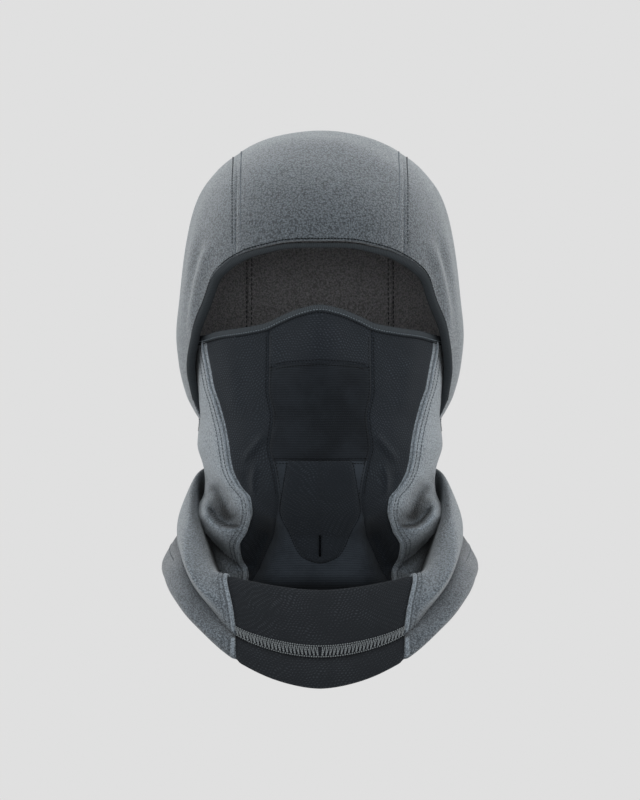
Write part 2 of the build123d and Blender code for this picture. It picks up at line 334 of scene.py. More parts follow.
def seam_out(lean, half_width):
    """The angle out at which an arch passes a half width, found by halving."""
    low, high = np.zeros(np.shape(lean)), np.full(np.shape(lean), 88.0)
    for _ in range(30):
        middle = (low + high) / 2
        beyond = hood_surface(middle, lean)[..., 0] > half_width
        low = np.where(beyond, low, middle)
        high = np.where(beyond, middle, high)
    return low


def hood_folds(p):
    """Slack in the hood: drapes down the temples and slow unevenness."""
    x, z = np.abs(p[..., 0]), p[..., 2]
    front = np.clip(-p[..., 1] / 25, 0, 1)
    drape = ridge(x, z, [(66, 272), (74, 246), (80, 214)], 3.2, 2.1)
    drape = drape + ridge(x, z, [(73, 280), (80, 250), (85, 205)], 3.4, 1.2)
    drape = drape + ridge(x, z, [(70, 278), (77, 248), (83, 208)], 2.2, -1.0)
    return front * drape + wobble(p, 0.5, 46, 3)


def tube_angle(x, z):
    """The angle round the tube at which it has half width x."""
    share = np.clip(np.abs(x) / table(TUBE_WIDTH, z), 0, 1)
    return np.degrees(np.arcsin(share ** (TUBE_SQUARENESS / 2)))


def tube_surface(angle, z):
    """Tube cloth at an angle round from the middle of the face, to either side, and a height."""
    a = np.radians(angle)
    power = 2 / TUBE_SQUARENESS
    x = np.sign(a) * table(TUBE_WIDTH, z) * np.abs(np.sin(a)) ** power
    ahead = np.abs(np.cos(a)) ** power
    front = table(TUBE_FRONT, z) * ahead + table(NOSE, z) * np.exp(-((x / NOSE_WIDTH) ** 2))
    y = TUBE_Y + np.where(np.abs(angle) < 90, -front, table(TUBE_BACK, z) * ahead)
    p = np.stack([x, y, z + 0 * a], axis=-1)
    return p + tube_folds(p)


def tube_folds(p):
    """Creases, the pouch and roll beside the jaw, and the hollows under the chin, as shifts of the cloth."""
    x, z = np.abs(p[..., 0]), p[..., 2]
    front = np.clip((TUBE_Y - p[..., 1]) / 12, 0, 1)
    out = ridge(x, z, [(33, 155), (39, 147), (47, 137)], 2.2, 2.3)
    out = out + ridge(x, z, [(34, 150), (40, 142), (46, 133)], 2.0, -1.0)
    out = out + ridge(x, z, [(38.5, 136), (40.5, 127), (40, 116)], 1.5, 2.2)
    out = out + ridge(x, z, [(44, 134), (45, 126), (43, 119)], 2.6, -1.4)
    out = out + ridge(x, z, [(54, 202), (53, 184), (50, 165)], 5.0, 1.4)
    out = out + ridge(x, z, [(67, 192), (64.5, 172), (63, 150), (62, 134)], 3.6, 1.6)
    pouch = ridge(x, z, POUCH, 6.5, -2.6) + ridge(x, z, VALLEY, 3.6, -4.2)
    pouch = pouch + ridge(x, z, [(68, 141), (60, 129), (52, 121)], 5.5, 1.8)
    lip = tuck(x, z, SMILE, 7.0, -6.0)
    roll = ridge(x, z, ROLL, 7.0, 6.5)
    under = ridge(x, z, UNDER_ROLL, 6.0, -10.0)
    hollow = ridge(x, z, [(29, 104), (36, 90), (41, 78), (46, 60)], 7.5, -19.0)
    tent = ridge(x, z, [(0, 92), (0, 62)], 20.0, 4.0)
    slow = wobble(p, 0.35, 30, 8)
    total = front * (out + pouch + lip + roll + under + hollow + tent) + slow
    ahead = np.stack([0.28 * np.sign(p[..., 0]) * x / 70, -np.ones_like(x), 0 * x], axis=-1)
    behind = np.stack([p[..., 0], p[..., 1] - TUBE_Y, 0 * x], axis=-1)
    behind = behind / np.maximum(np.linalg.norm(behind, axis=-1, keepdims=True), 1e-6)
    return np.where((front > 0)[..., None], ahead * total[..., None], behind * slow[..., None])


def tube_shade(p):
    """Painted shade on the tube's cloth, from 0 to 1: a dark line along the smile, shade above it and in the
    pouch, behind the roll and just above the bib.
    """
    x, z = np.abs(p[..., 0]), p[..., 2]
    at_smile = stroke(x, z, [(a - 0.3, b + 0.6) for a, b in SMILE], 1.9)
    above_smile = 0.55 * stroke(x, z, [(a - 1.5, b + 4.0) for a, b in SMILE], 5.2)
    pouch = 0.45 * stroke(x, z, POUCH, 6.5) + 0.3 * stroke(x, z, [(a + 1, b - 1.5) for a, b in VALLEY], 2.6)
    away, _, side = line_distance(x, z, ROLL_EDGE)
    behind_roll = np.where(side > 0, 0, 0.3 + 0.6 * np.exp(-away / 3.0)) * (z < ROLL_EDGE[0][1])
    low = np.clip((70 - z) / 8, 0, 1)
    shade_amount = np.maximum(at_smile, above_smile + pouch)
    shade_amount = np.maximum(np.maximum(shade_amount, behind_roll), 0.9 * low)
    return np.clip(shade_amount, 0, 1) * np.clip((TUBE_Y - p[..., 1]) / 12, 0, 1)


def collar_shade(p, row):
    """Painted shade inside the collar's fold, where it turns above the hem, and where its top is close to the
    neck.
    """
    x, z = np.abs(p[..., 0]), p[..., 2]
    inside = np.clip(1.75 - row, 0, 1) * 0.75 + np.clip(row - 4.55, 0, 0.45) * 0.9
    top = ridge(x, z, [(70, 137), (73.5, 129), (76, 119), (77, 108), (73, 96), (66, 78)], 3.2, 0.42)
    return np.clip(inside + top * (p[..., 1] < 30), 0, 1)


def hem_shade(_, row):
    """Painted shade on the hem where the collar overhangs it."""
    return np.clip(1.35 - row, 0, 1) * 0.6


def collar_surface(station, row):
    """The collar's cloth, a little uneven below its crest."""
    p = net(COLLAR, station, row)
    outward = np.stack([p[..., 0], p[..., 1] - TUBE_Y, 0 * p[..., 0]], axis=-1)
    outward /= np.linalg.norm(outward, axis=-1, keepdims=True)
    low = np.clip(row - 2, 0, 1)
    soft = wobble(p, 0.6, 42, 21) * low
    return p + outward * soft[..., None]


def hem_surface(station, row):
    """The hem flange's cloth."""
    p = net(HEM, station, row)
    return p + wobble(p, 0.35, 36, 33)[..., None] * np.array([0, 0, 1.0])


def surface_normals(p):
    """Unit normals of a grid of points, from its two directions."""
    along = np.gradient(p, axis=1)
    across = np.gradient(p, axis=0)
    n = np.cross(along, across)
    size = np.linalg.norm(n, axis=-1, keepdims=True)
    return n / np.maximum(size, 1e-9)


def lengths(p, axis):
    """Distance walked over the cloth along one of a grid's directions."""
    steps = np.linalg.norm(np.diff(p, axis=axis), axis=-1)
    return np.insert(np.cumsum(steps, axis=axis), 0, 0, axis=axis)


def facing_out(p, inside):
    """Normals that point away from a point inside the object."""
    n = surface_normals(p)
    if np.sum(n * (p - np.array(inside))) < 0:
        n = -n
    return n


def pinch(p, n, sides, depth, width):
    """Cloth pulled in along its sewn sides: l, r, b and t name a grid's first and last columns and rows."""
    u, v = lengths(p, 1), lengths(p, 0)
    away = np.full(u.shape, 1e9)
    for side, distance in (("l", u), ("r", u[:, -1:] - u), ("b", v), ("t", v[-1:] - v)):
        if side in sides:
            away = np.minimum(away, distance)
    return p - n * (depth * np.exp(-((away / width) ** 2)))[..., None]


def closed_cloth(name, p, n, thick, material, shade=None):
    """A closed mesh of a cloth panel: its outer face p, inner face and rounded edges. Its UVs are lengths.

    shade is painted shade, from 0 to 1 by how far into a fold each point lies, and is kept in the "crease"
    attribute, which darkens the colour.
    """
    rows, columns = p.shape[:2]
    inner = p - n * thick
    count = rows * columns
    index = np.arange(count).reshape(rows, columns)
    flip = np.sum(surface_normals(p) * n) < 0
    corners = [index[:-1, :-1], index[:-1, 1:], index[1:, 1:], index[1:, :-1]]
    outer_faces = np.stack(corners, axis=-1).reshape(-1, 4)
    if flip:
        outer_faces = outer_faces[:, ::-1]
    inner_faces = outer_faces[:, ::-1] + count
    loop = np.array([*index[0, :], *index[1:, -1], *index[-1, -2::-1], *index[-2:0:-1, 0]])
    flat, flat_inner = p.reshape(-1, 3), inner.reshape(-1, 3)
    middle = (flat[loop] + flat_inner[loop]) / 2
    middle = middle + edge_outward(p, loop) * thick * RIM_ROUND
    mid = np.arange(len(loop)) + 2 * count
    after = np.roll(np.arange(len(loop)), -1)
    first = np.stack([loop, mid, mid[after], loop[after]], axis=-1)
    second = np.stack([mid, loop + count, loop[after] + count, mid[after]], axis=-1)
    rim = np.concatenate([first, second])
    if flip:
        rim = rim[:, ::-1]
    vertices = np.concatenate([flat, flat_inner, middle]) * MM
    faces = np.concatenate([outer_faces, inner_faces, rim])
    u, v = lengths(p, 1).reshape(-1), lengths(p, 0).reshape(-1)
    uv = np.stack([u, v], axis=-1) * MM
    uv = np.concatenate([uv, uv, uv[loop]])
    piece = make_mesh(name, vertices, faces, uv, material)
    if shade is not None:
        flat_shade = np.broadcast_to(shade, p.shape[:2]).reshape(-1)
        crease = piece.data.attributes.new("crease", "FLOAT", "POINT")
        values = np.concatenate([flat_shade, flat_shade, flat_shade[loop]])
        crease.data.foreach_set("value", values.astype(np.float32))
    return piece


def edge_outward(p, loop):
    """Unit directions that point out of a grid's edge, in the cloth."""
    rows, columns = p.shape[:2]
    flat = p.reshape(-1, 3)
    r, c = np.divmod(loop, columns)
    inward_r = np.clip(r, 1, rows - 2)
    inward_c = np.clip(c, 1, columns - 2)
    out = flat[loop] - flat[inward_r * columns + inward_c]
    return out / np.maximum(np.linalg.norm(out, axis=-1, keepdims=True), 1e-6)


def make_mesh(name, vertices, faces, uv, material):
    """A smooth mesh piece of four-sided faces, with its cloth lengths as UVs."""
    mesh = bpy.data.meshes.new(name)
    mesh.vertices.add(len(vertices))
    mesh.vertices.foreach_set("co", np.ascontiguousarray(vertices, dtype=np.float32).ravel())
    faces = np.asarray(faces)
    mesh.loops.add(faces.size)
    mesh.loops.foreach_set("vertex_index", faces.ravel().astype(np.int32))
    mesh.polygons.add(len(faces))
    mesh.polygons.foreach_set("loop_start", np.arange(0, faces.size, faces.shape[1], dtype=np.int32))
    mesh.polygons.foreach_set("loop_total", np.full(len(faces), faces.shape[1], dtype=np.int32))
    mesh.update(calc_edges=True)
    layer = mesh.uv_layers.new(name="cloth")
    layer.data.foreach_set("uv", uv[faces.ravel()].astype(np.float32).ravel())
    mesh.polygons.foreach_set("use_smooth", np.ones(len(faces), dtype=bool))
    mesh.materials.append(material)
    mesh.validate()
    piece = bpy.data.objects.new(name, mesh)
    bpy.context.scene.collection.objects.link(piece)
    return piece


def mirrored(p):
    """Points or directions on the other side of the middle plane."""
    return p * np.array([-1, 1, 1])


def sweep(name, path, normals, profile, material, scale_along=None):
    """A closed bar of cloth along a path. profile is (across, out) points round its section."""
    tangent = np.gradient(path, axis=0)
    tangent /= np.linalg.norm(tangent, axis=1, keepdims=True)
    across = np.cross(tangent, normals)
    across /= np.linalg.norm(across, axis=1, keepdims=True)
    up = np.cross(across, tangent)
    size = np.ones(len(path)) if scale_along is None else scale_along
    shape = np.array(profile, float)
    ring = (
        path[:, None]
        + across[:, None] * (shape[None, :, 0:1] * size[:, None, None])
        + up[:, None] * (shape[None, :, 1:2] * size[:, None, None])
    )
    rows, columns = ring.shape[:2]
    index = np.arange(rows * columns).reshape(rows, columns)
    right = np.roll(index, -1, axis=1)
    faces = np.stack([index[:-1], right[:-1], right[1:], index[1:]], axis=-1).reshape(-1, 4)
    ends = np.stack([path[0], path[-1]])
    first, last = rows * columns, rows * columns + 1
    start = np.stack([np.full(columns, first), right[0], index[0]], axis=-1)
    stop = np.stack([np.full(columns, last), index[-1], right[-1]], axis=-1)
    vertices = np.concatenate([ring.reshape(-1, 3), ends]) * MM
    length = np.insert(np.cumsum(np.linalg.norm(np.diff(path, axis=0), axis=1)), 0, 0)
    round_section = np.linspace(0, 1, columns) * np.ptp(shape[:, 0]) * 2
    u, v = np.meshgrid(length, round_section, indexing="ij")
    uv = np.concatenate([np.stack([u.ravel(), v.ravel()], -1), [[0, 0], [length[-1], 0]]]) * MM
    triangles = np.concatenate([start, stop])
    return make_bar(name, vertices, faces, triangles, uv, material)


def make_bar(name, vertices, faces, triangles, uv, material):
    """A mesh of four-sided faces and end triangles, turned so that it faces outwards."""
    mesh = bpy.data.meshes.new(name)
    polygons = [tuple(int(i) for i in f) for f in faces] + [tuple(int(i) for i in f) for f in triangles]
    mesh.from_pydata([tuple(v) for v in vertices], [], polygons)
    layer = mesh.uv_layers.new(name="cloth")
    corner = np.zeros(len(mesh.loops), dtype=np.int32)
    mesh.loops.foreach_get("vertex_index", corner)
    layer.data.foreach_set("uv", uv[corner].astype(np.float32).ravel())
    mesh.polygons.foreach_set("use_smooth", np.ones(len(mesh.polygons), dtype=bool))
    mesh.materials.append(material)
    face_outwards(mesh)
    piece = bpy.data.objects.new(name, mesh)
    bpy.context.scene.collection.objects.link(piece)
    return piece


def face_outwards(mesh):
    """Turns a mesh's faces outwards."""
    work = bmesh.new()
    work.from_mesh(mesh)
    bmesh.ops.recalc_face_normals(work, faces=work.faces)
    work.to_mesh(mesh)
    work.free()


# -------------------------------------------------------------------------------------------------- materials


def nodes_of(tree):
    """A function that adds nodes with their settings to a tree."""
    def add(kind, **settings):
        node = tree.nodes.new(kind)
        for key, value in settings.items():
            setattr(node, key, value)
        return node

    return add


def maths(tree, operation, a, b=None, clamp=False):
    """One arithmetic step. a and b are sockets or numbers."""
    node = tree.nodes.new("ShaderNodeMath")
    node.operation = operation
    node.use_clamp = clamp
    for socket, value in zip(node.inputs, (a, b)):
        if value is None:
            continue
        if isinstance(value, (int, float)):
            socket.default_value = value
        else:
            tree.links.new(value, socket)
    return node.outputs[0]


def blend_colours(tree, factor, a, b):
    """A mix from colour a to colour b."""
    node = tree.nodes.new("ShaderNodeMix")
    node.data_type = "RGBA"
    for socket, value in zip((node.inputs["Factor"], node.inputs[6], node.inputs[7]), (factor, a, b)):
        tree.links.new(value, socket)
    return node.outputs[2]


def scaled(tree, colour, amount):
    """A colour made lighter or darker by an amount."""
    node = tree.nodes.new("ShaderNodeVectorMath")
    node.operation = "SCALE"
    tree.links.new(colour, node.inputs[0])
    tree.links.new(amount, node.inputs["Scale"])
    return node.outputs[0]


def new_group(name, inputs):
    """A shader group with a Colour and a Normal output. inputs are (name, kind, value)."""
    tree = bpy.data.node_groups.new(name, "ShaderNodeTree")
    for label, kind, value in inputs:
        socket = tree.interface.new_socket(label, in_out="INPUT", socket_type=kind)
        socket.default_value = value
    tree.interface.new_socket("Colour", in_out="OUTPUT", socket_type="NodeSocketColor")
    tree.interface.new_socket("Normal", in_out="OUTPUT", socket_type="NodeSocketVector")
    return tree, tree.nodes.new("NodeGroupInput"), tree.nodes.new("NodeGroupOutput")


def finish_group(tree, given, result, colour, height):
    """Ends a group with its relief and colour, with painted sheen that makes it paler where the cloth turns
    away and painted shade that darkens it by the Painted Shade input.
    """
    away = maths(tree, "POWER", given.outputs["Turned Away"], 1.5)
    painted_sheen = maths(tree, "MULTIPLY", away, given.outputs["Painted Sheen Share"], clamp=True)
    painted_sheen_light = maths(tree, "ADD", maths(tree, "MULTIPLY", height, 0.7), 0.65)
    grained = scaled(tree, given.outputs["Nap"], painted_sheen_light)
    colour = blend_colours(tree, painted_sheen, colour, grained)
    light = maths(tree, "SUBTRACT", 1.0, maths(tree, "MULTIPLY", given.outputs["Crease"], 0.94))
    colour = scaled(tree, colour, light)
    bump = tree.nodes.new("ShaderNodeBump")
    bump.inputs["Strength"].default_value = 1.0
    tree.links.new(given.outputs["Depth"], bump.inputs["Distance"])
    tree.links.new(height, bump.inputs["Height"])
    tree.links.new(colour, result.inputs["Colour"])
    tree.links.new(bump.outputs["Normal"], result.inputs["Normal"])
    return tree


COLOUR = "NodeSocketColor"
NUMBER = "NodeSocketFloat"
CLOTH_INPUTS = [
    ("Dark", COLOUR, (0.1, 0.1, 0.1, 1)),
    ("Light", COLOUR, (0.5, 0.5, 0.5, 1)),
    ("Nap", COLOUR, (0.5, 0.5, 0.5, 1)),
    ("Painted Sheen Share", NUMBER, 0.0),
    ("Turned Away", NUMBER, 0.0),
    ("Crease", NUMBER, 0.0),
    ("Depth", NUMBER, 0.0005),
]


def noise(tree, vector, scale, detail, roughness=0.6, distortion=0.0):
    """Noise of scale cells a metre."""
    node = tree.nodes.new("ShaderNodeTexNoise")
    node.inputs["Scale"].default_value = scale
    node.inputs["Detail"].default_value = detail
    node.inputs["Roughness"].default_value = roughness
    node.inputs["Distortion"].default_value = distortion
    tree.links.new(vector, node.inputs["Vector"])
    return node.outputs["Fac"]


def widen(tree, value, low, high):
    """Stretches low to high over 0 to 1."""
    node = tree.nodes.new("ShaderNodeMapRange")
    node.interpolation_type = "SMOOTHSTEP"
    node.inputs["From Min"].default_value = low
    node.inputs["From Max"].default_value = high
    tree.links.new(value, node.inputs["Value"])
    return node.outputs["Result"]


def fleece_group():
    """Brushed pile: small tufts, finer fibres and slow patches of lighter and darker pile."""
    tree, given, result = new_group("fleece_pile", CLOTH_INPUTS)
    place = tree.nodes.new("ShaderNodeTexCoord").outputs["Object"]
    pills = tree.nodes.new("ShaderNodeTexVoronoi")
    pills.inputs["Scale"].default_value = 880.0
    tree.links.new(place, pills.inputs["Vector"])
    tufts = widen(tree, pills.outputs["Distance"], 0.85, 0.15)
    fibres = widen(tree, noise(tree, place, 1700.0, 1.0, 0.6), 0.3, 0.7)
    patches = widen(tree, noise(tree, place, 28.0, 3.0), 0.25, 0.75)
    grain = maths(tree, "ADD", maths(tree, "MULTIPLY", tufts, 0.62), maths(tree, "MULTIPLY", fibres, 0.38))
    patchy = maths(tree, "MULTIPLY", patches, 0.1)
    tone = maths(tree, "ADD", maths(tree, "MULTIPLY", grain, 0.9), patchy, clamp=True)
    colour = blend_colours(tree, tone, given.outputs["Dark"], given.outputs["Light"])
    return finish_group(tree, given, result, colour, grain)


def cloth_place(tree, pitch, lean, wander=0.0):
    """The piece's cloth lengths in pitches. The first leans with the second, and both wander."""
    uv = tree.nodes.new("ShaderNodeUVMap")
    uv.uv_map = "cloth"
    split = tree.nodes.new("ShaderNodeSeparateXYZ")
    tree.links.new(uv.outputs["UV"], split.inputs["Vector"])
    u = maths(tree, "DIVIDE", split.outputs["X"], pitch[0])
    v = maths(tree, "DIVIDE", split.outputs["Y"], pitch[1])
    u = maths(tree, "ADD", u, maths(tree, "MULTIPLY", v, lean))
    place = tree.nodes.new("ShaderNodeTexCoord").outputs["Object"]
    drift = maths(tree, "MULTIPLY", noise(tree, place, 90.0, 2.0), wander)
    return maths(tree, "ADD", u, drift), maths(tree, "ADD", v, drift)


def bead(tree, value):
    """A row of round-topped beads, one a pitch, from 0 between them to 1 on top."""
    part = maths(tree, "SUBTRACT", maths(tree, "FRACT", value), 0.5)
    return maths(tree, "COSINE", maths(tree, "MULTIPLY", part, 2 * math.pi))


def mesh_knit_group():
    """Fine mesh knit: offset rows of small raised dots over a dark ground."""
    tree, given, result = new_group("mesh_knit", CLOTH_INPUTS)
    u, v = cloth_place(tree, (0.0023, 0.0016), 0.5, 3.5)
    dots = maths(tree, "MULTIPLY", maths(tree, "ADD", bead(tree, u), bead(tree, v)), 0.5)
    dots = widen(tree, dots, 0.1, 0.9)
    place = tree.nodes.new("ShaderNodeTexCoord").outputs["Object"]
    uneven = widen(tree, noise(tree, place, 60.0, 3.0), 0.3, 0.7)
    fuzz = noise(tree, place, 1400.0, 2.0)
    dotted = maths(tree, "MULTIPLY", dots, maths(tree, "ADD", maths(tree, "MULTIPLY", uneven, 0.7), 0.2))
    tone = maths(tree, "ADD", dotted, maths(tree, "MULTIPLY", fuzz, 0.35), clamp=True)
    height = maths(tree, "ADD", dots, maths(tree, "MULTIPLY", fuzz, 0.5))
    colour = blend_colours(tree, tone, given.outputs["Dark"], given.outputs["Light"])
    return finish_group(tree, given, result, colour, height)


def smooth_knit_group():
    """Close jersey: fine ribs along the cloth with a little unevenness."""
    tree, given, result = new_group("smooth_knit", CLOTH_INPUTS)
    u, v = cloth_place(tree, (0.0012, 0.0015), 0.5)
    along = maths(tree, "MULTIPLY", bead(tree, v), 0.35)
    ribs = maths(tree, "ADD", along, maths(tree, "MULTIPLY", bead(tree, u), 0.15))
    place = tree.nodes.new("ShaderNodeTexCoord").outputs["Object"]
    fuzz = noise(tree, place, 900.0, 3.0)
    slow = widen(tree, noise(tree, place, 45.0, 3.0), 0.3, 0.7)
    height = maths(tree, "ADD", ribs, maths(tree, "MULTIPLY", fuzz, 0.6))
    tone = maths(tree, "MULTIPLY", maths(tree, "ADD", height, slow), 0.5, clamp=True)
    colour = blend_colours(tree, tone, given.outputs["Dark"], given.outputs["Light"])
    return finish_group(tree, given, result, colour, height)


def tape_group():
    """Ribbed tape: close cross ribs along its length."""
    tree, given, result = new_group("ribbed_tape", CLOTH_INPUTS)
    u, _ = cloth_place(tree, (TAPE_RIB, TAPE_RIB), 0.25)
    ribs = widen(tree, bead(tree, u), -1.0, 1.0)
    place = tree.nodes.new("ShaderNodeTexCoord").outputs["Object"]
    fuzz = noise(tree, place, 1300.0, 3.0)
    height = maths(tree, "ADD", maths(tree, "MULTIPLY", ribs, 0.7), maths(tree, "MULTIPLY", fuzz, 0.5))
    tone = maths(tree, "MULTIPLY", height, 0.8, clamp=True)
    colour = blend_colours(tree, tone, given.outputs["Dark"], given.outputs["Light"])
    return finish_group(tree, given, result, colour, height)


def grey(level, tint=(1.0, 1.0, 1.0)):
    """A linear colour from a screen level of 0 to 255."""
    value = (level / 255) ** 2.2
    return (*(value * part for part in tint), 1.0)


def cloth_material(name, group, dark, light, depth, painted_sheen=None, painted_sheen_share=0.0, gloss=0.15):
    """A cloth finish, with its colour and relief from a shared group."""
    material = bpy.data.materials.new(name)
    material.use_nodes = True
    tree = material.node_tree
    shader = tree.nodes["Principled BSDF"]
    node = tree.nodes.new("ShaderNodeGroup")
    node.node_tree = group
    node.inputs["Dark"].default_value = dark
    node.inputs["Light"].default_value = light
    node.inputs["Depth"].default_value = depth
    node.inputs["Nap"].default_value = painted_sheen or light
    node.inputs["Painted Sheen Share"].default_value = painted_sheen_share
    # Painted sheen: the colour turns towards the sheen colour where the cloth turns away from the view.
    edge = tree.nodes.new("ShaderNodeLayerWeight")
    edge.inputs["Blend"].default_value = 0.5
    tree.links.new(edge.outputs["Facing"], node.inputs["Turned Away"])
    # Painted shade: the crease attribute of the cloth panels darkens the colour in folds.
    crease = tree.nodes.new("ShaderNodeAttribute")
    crease.attribute_name = "crease"
    tree.links.new(crease.outputs["Fac"], node.inputs["Crease"])
    tree.links.new(node.outputs["Colour"], shader.inputs["Base Color"])
    tree.links.new(node.outputs["Normal"], shader.inputs["Normal"])
    shader.inputs["Roughness"].default_value = 0.9
    shader.inputs["Specular IOR Level"].default_value = gloss
    shader.inputs["Sheen Weight"].default_value = painted_sheen_share * 0.12
    shader.inputs["Sheen Roughness"].default_value = 0.5
    return material


FLEECE_TINT = (0.85, 1.0, 1.14)
SLATE_TINT = (0.84, 1.0, 1.14)
INK_TINT = (0.80, 1.0, 1.26)
BIB_TINT = (0.86, 1.0, 1.18)
WARM_TINT = (1.0, 0.99, 1.02)
LADDER_TINT = (0.91, 1.0, 1.05)

fleece_pile = fleece_group()
mesh_knit = mesh_knit_group()
smooth_knit = smooth_knit_group()
ribbed_tape = tape_group()

# Sheen colours: painted sheen, mixed into the colour where the cloth turns away from the view.
FLEECE_SHEEN = grey(176, (0.93, 1.0, 1.05))
HEM_SHEEN = grey(150, (0.95, 1.0, 1.05))
INK_SHEEN = grey(62, (0.8, 1.0, 1.2))
M_FLEECE = cloth_material(
    "grey_fleece", fleece_pile, grey(44, FLEECE_TINT), grey(122, FLEECE_TINT), 0.0010, FLEECE_SHEEN, 0.9
)
M_NECK_FLEECE = cloth_material(
    "neck_fleece", fleece_pile, grey(72, FLEECE_TINT), grey(150, FLEECE_TINT), 0.0010, FLEECE_SHEEN, 0.8
)
# A lighter copy of the same grey fleece for the mask's sides: painted light that makes up for the shade under
# the hood's edge and below the roll.
M_LIGHTENED_SIDE_FLEECE = cloth_material(
    "side_fleece", fleece_pile, grey(98, FLEECE_TINT), grey(180, FLEECE_TINT), 0.0010, FLEECE_SHEEN, 0.8
)
M_HEM_FLEECE = cloth_material(
    "hem_fleece", fleece_pile, grey(62, FLEECE_TINT), grey(136, FLEECE_TINT), 0.0010, HEM_SHEEN, 0.9
)
# The lining is set far paler than its own dark charcoal: painted light that makes up for the little light
# inside the hood.
M_LIGHTENED_LINING = cloth_material(
    "lining_fleece", fleece_pile, grey(86, WARM_TINT), grey(156, WARM_TINT), 0.0010, grey(150, WARM_TINT), 0.3
)
M_BINDING = cloth_material("hood_tape", ribbed_tape, grey(40, SLATE_TINT), grey(64, SLATE_TINT), 0.0003)
M_MASK_TAPE = cloth_material("mask_tape", ribbed_tape, grey(46, SLATE_TINT), grey(76, SLATE_TINT), 0.0003)
M_MESH = cloth_material(
    "dotted_knit", mesh_knit, grey(34, INK_TINT), grey(54, INK_TINT), 0.00025, INK_SHEEN, 0.25, 0.1
)
M_CHIN = cloth_material(
    "chin_knit", mesh_knit, grey(34, INK_TINT), grey(51, INK_TINT), 0.00025, INK_SHEEN, 0.25, 0.1
)
M_SMOOTH = cloth_material(
    "smooth_knit", smooth_knit, grey(28, INK_TINT), grey(43, INK_TINT), 0.0002, INK_SHEEN, 0.25, 0.1
)
M_THROAT = cloth_material(
    "throat_knit", smooth_knit, grey(42, INK_TINT), grey(62, INK_TINT), 0.0002, INK_SHEEN, 0.25, 0.1
)
M_BIB = cloth_material(
    "bib_knit", mesh_knit, grey(34, BIB_TINT), grey(56, BIB_TINT), 0.00025, INK_SHEEN, 0.25, 0.1
)
M_FLATLOCK = cloth_material(
    "flatlock", fleece_pile, grey(88, FLEECE_TINT), grey(154, FLEECE_TINT), 0.0005, FLEECE_SHEEN, 0.5
)
M_THREAD = cloth_material("grey_thread", ribbed_tape, grey(96, SLATE_TINT), grey(150, SLATE_TINT), 0.0002)
M_LADDER = cloth_material(
    "ladder_thread", ribbed_tape, grey(112, LADDER_TINT), grey(168, LADDER_TINT), 0.0002
)
M_CROWN_THREAD = cloth_material(
    "crown_thread", ribbed_tape, grey(52, FLEECE_TINT), grey(80, FLEECE_TINT), 0.0002
)
M_CROWN_LIGHT = cloth_material(
    "crown_light_thread", ribbed_tape, grey(96, FLEECE_TINT), grey(150, FLEECE_TINT), 0.0002
)
M_DARK_THREAD = cloth_material("dark_thread", ribbed_tape, grey(18, INK_TINT), grey(36, INK_TINT), 0.0002)
M_SLIT_SHADOW = cloth_material("slit_shadow", ribbed_tape, grey(5, INK_TINT), grey(12, INK_TINT), 0.0001, gloss=0.0)
M_SEAM_THREAD = cloth_material(
    "fleece_thread", ribbed_tape, grey(74, FLEECE_TINT), grey(122, FLEECE_TINT), 0.0002, FLEECE_SHEEN, 0.3
)

# ----------------------------------------------------------------------------------------------------- pieces

made = {}


def keep(piece, body, slot, *nodes):
    """Books a finished piece with its body, or "face" for cloth that bends, its slot and its nodes."""
    made[piece.name] = (piece, body, slot, nodes)
    return piece


def panel(name, p, inside, sides, thick, material, depth=0.3, width=3.2, shade=None):
    """One cloth panel from a grid of points, pinched along its sewn sides."""
    n = facing_out(p, inside)
    shaped = pinch(p, n, sides, depth, width)
    return closed_cloth(name, shaped, facing_out(shaped, inside), thick, material, shade)


def tube_panel(name, p, sides, thick, material, depth=0.8, width=1.5):
    """A panel of the tube, with shade painted into its folds."""
    return panel(name, p, NECK, sides, thick, material, depth, width, tube_shade(p))


HEAD = (0, 0, 240)
NECK = (0, 6, 110)


def across_hood(low, high, rows, columns, inset=0.0, start=1.0):
    """A grid over the hood from angle low to high at each arch, which both are functions of the lean."""
    share = np.linspace(0, 1, columns)[None, :]
    down = np.linspace(0, 1, rows)[:, None]
    lean = np.full((rows, columns), 120.0)
    for _ in range(5):
        out = low(lean) * (1 - share) + high(lean) * share
        first = edge_lean(out) + start
        lean = first * (1 - down) + RIM_ANGLE * down
    p = hood_surface(out, lean)
    n = facing_out(p, HEAD)
    return p + n * (hood_folds(p) - inset)[..., None]


def seam_table(half_width):
    """The seam's angle out for any lean, worked out once."""
    leans = np.linspace(45, 185, 71)
    outs = seam_out(leans, half_width)
    return lambda lean: np.interp(lean, leans, outs)


def make_hood():
    """The crown, the two sides, their linings, and the hood's seams and edge tape."""
    seam = seam_table(CROWN_SEAM)
    p = across_hood(lambda a: -seam(a), seam, 240, 90)
    keep(panel("crown_fleece", p, HEAD, "lr", FLEECE, M_FLEECE), "hood", "fleece", "crown_panel")
    side = across_hood(seam, lambda a: 89.6 + 0 * a, 220, 80)
    for name, q in (("left", side), ("right", mirrored(side))):
        piece = panel(f"hood_side_fleece_{name}", q, HEAD, "l", FLEECE, M_FLEECE)
        keep(piece, "hood", "fleece", f"hood_side_{name}")
    inset = FLEECE + 0.4
    inner = seam_table(LINING_SEAM)
    p = across_hood(lambda a: -inner(a), inner, 150, 60, inset)
    keep(inward_panel("crown_lining_fleece", p, "lr"), "hood", "lining", "crown_lining")
    side = across_hood(inner, lambda a: 89.0 + 0 * a, 140, 60, inset)
    for name, q in (("left", side), ("right", mirrored(side))):
        keep(inward_panel(f"side_lining_fleece_{name}", q, "l"), "hood", "lining", f"side_lining_{name}")
    make_hood_seams()
    make_brow_binding()


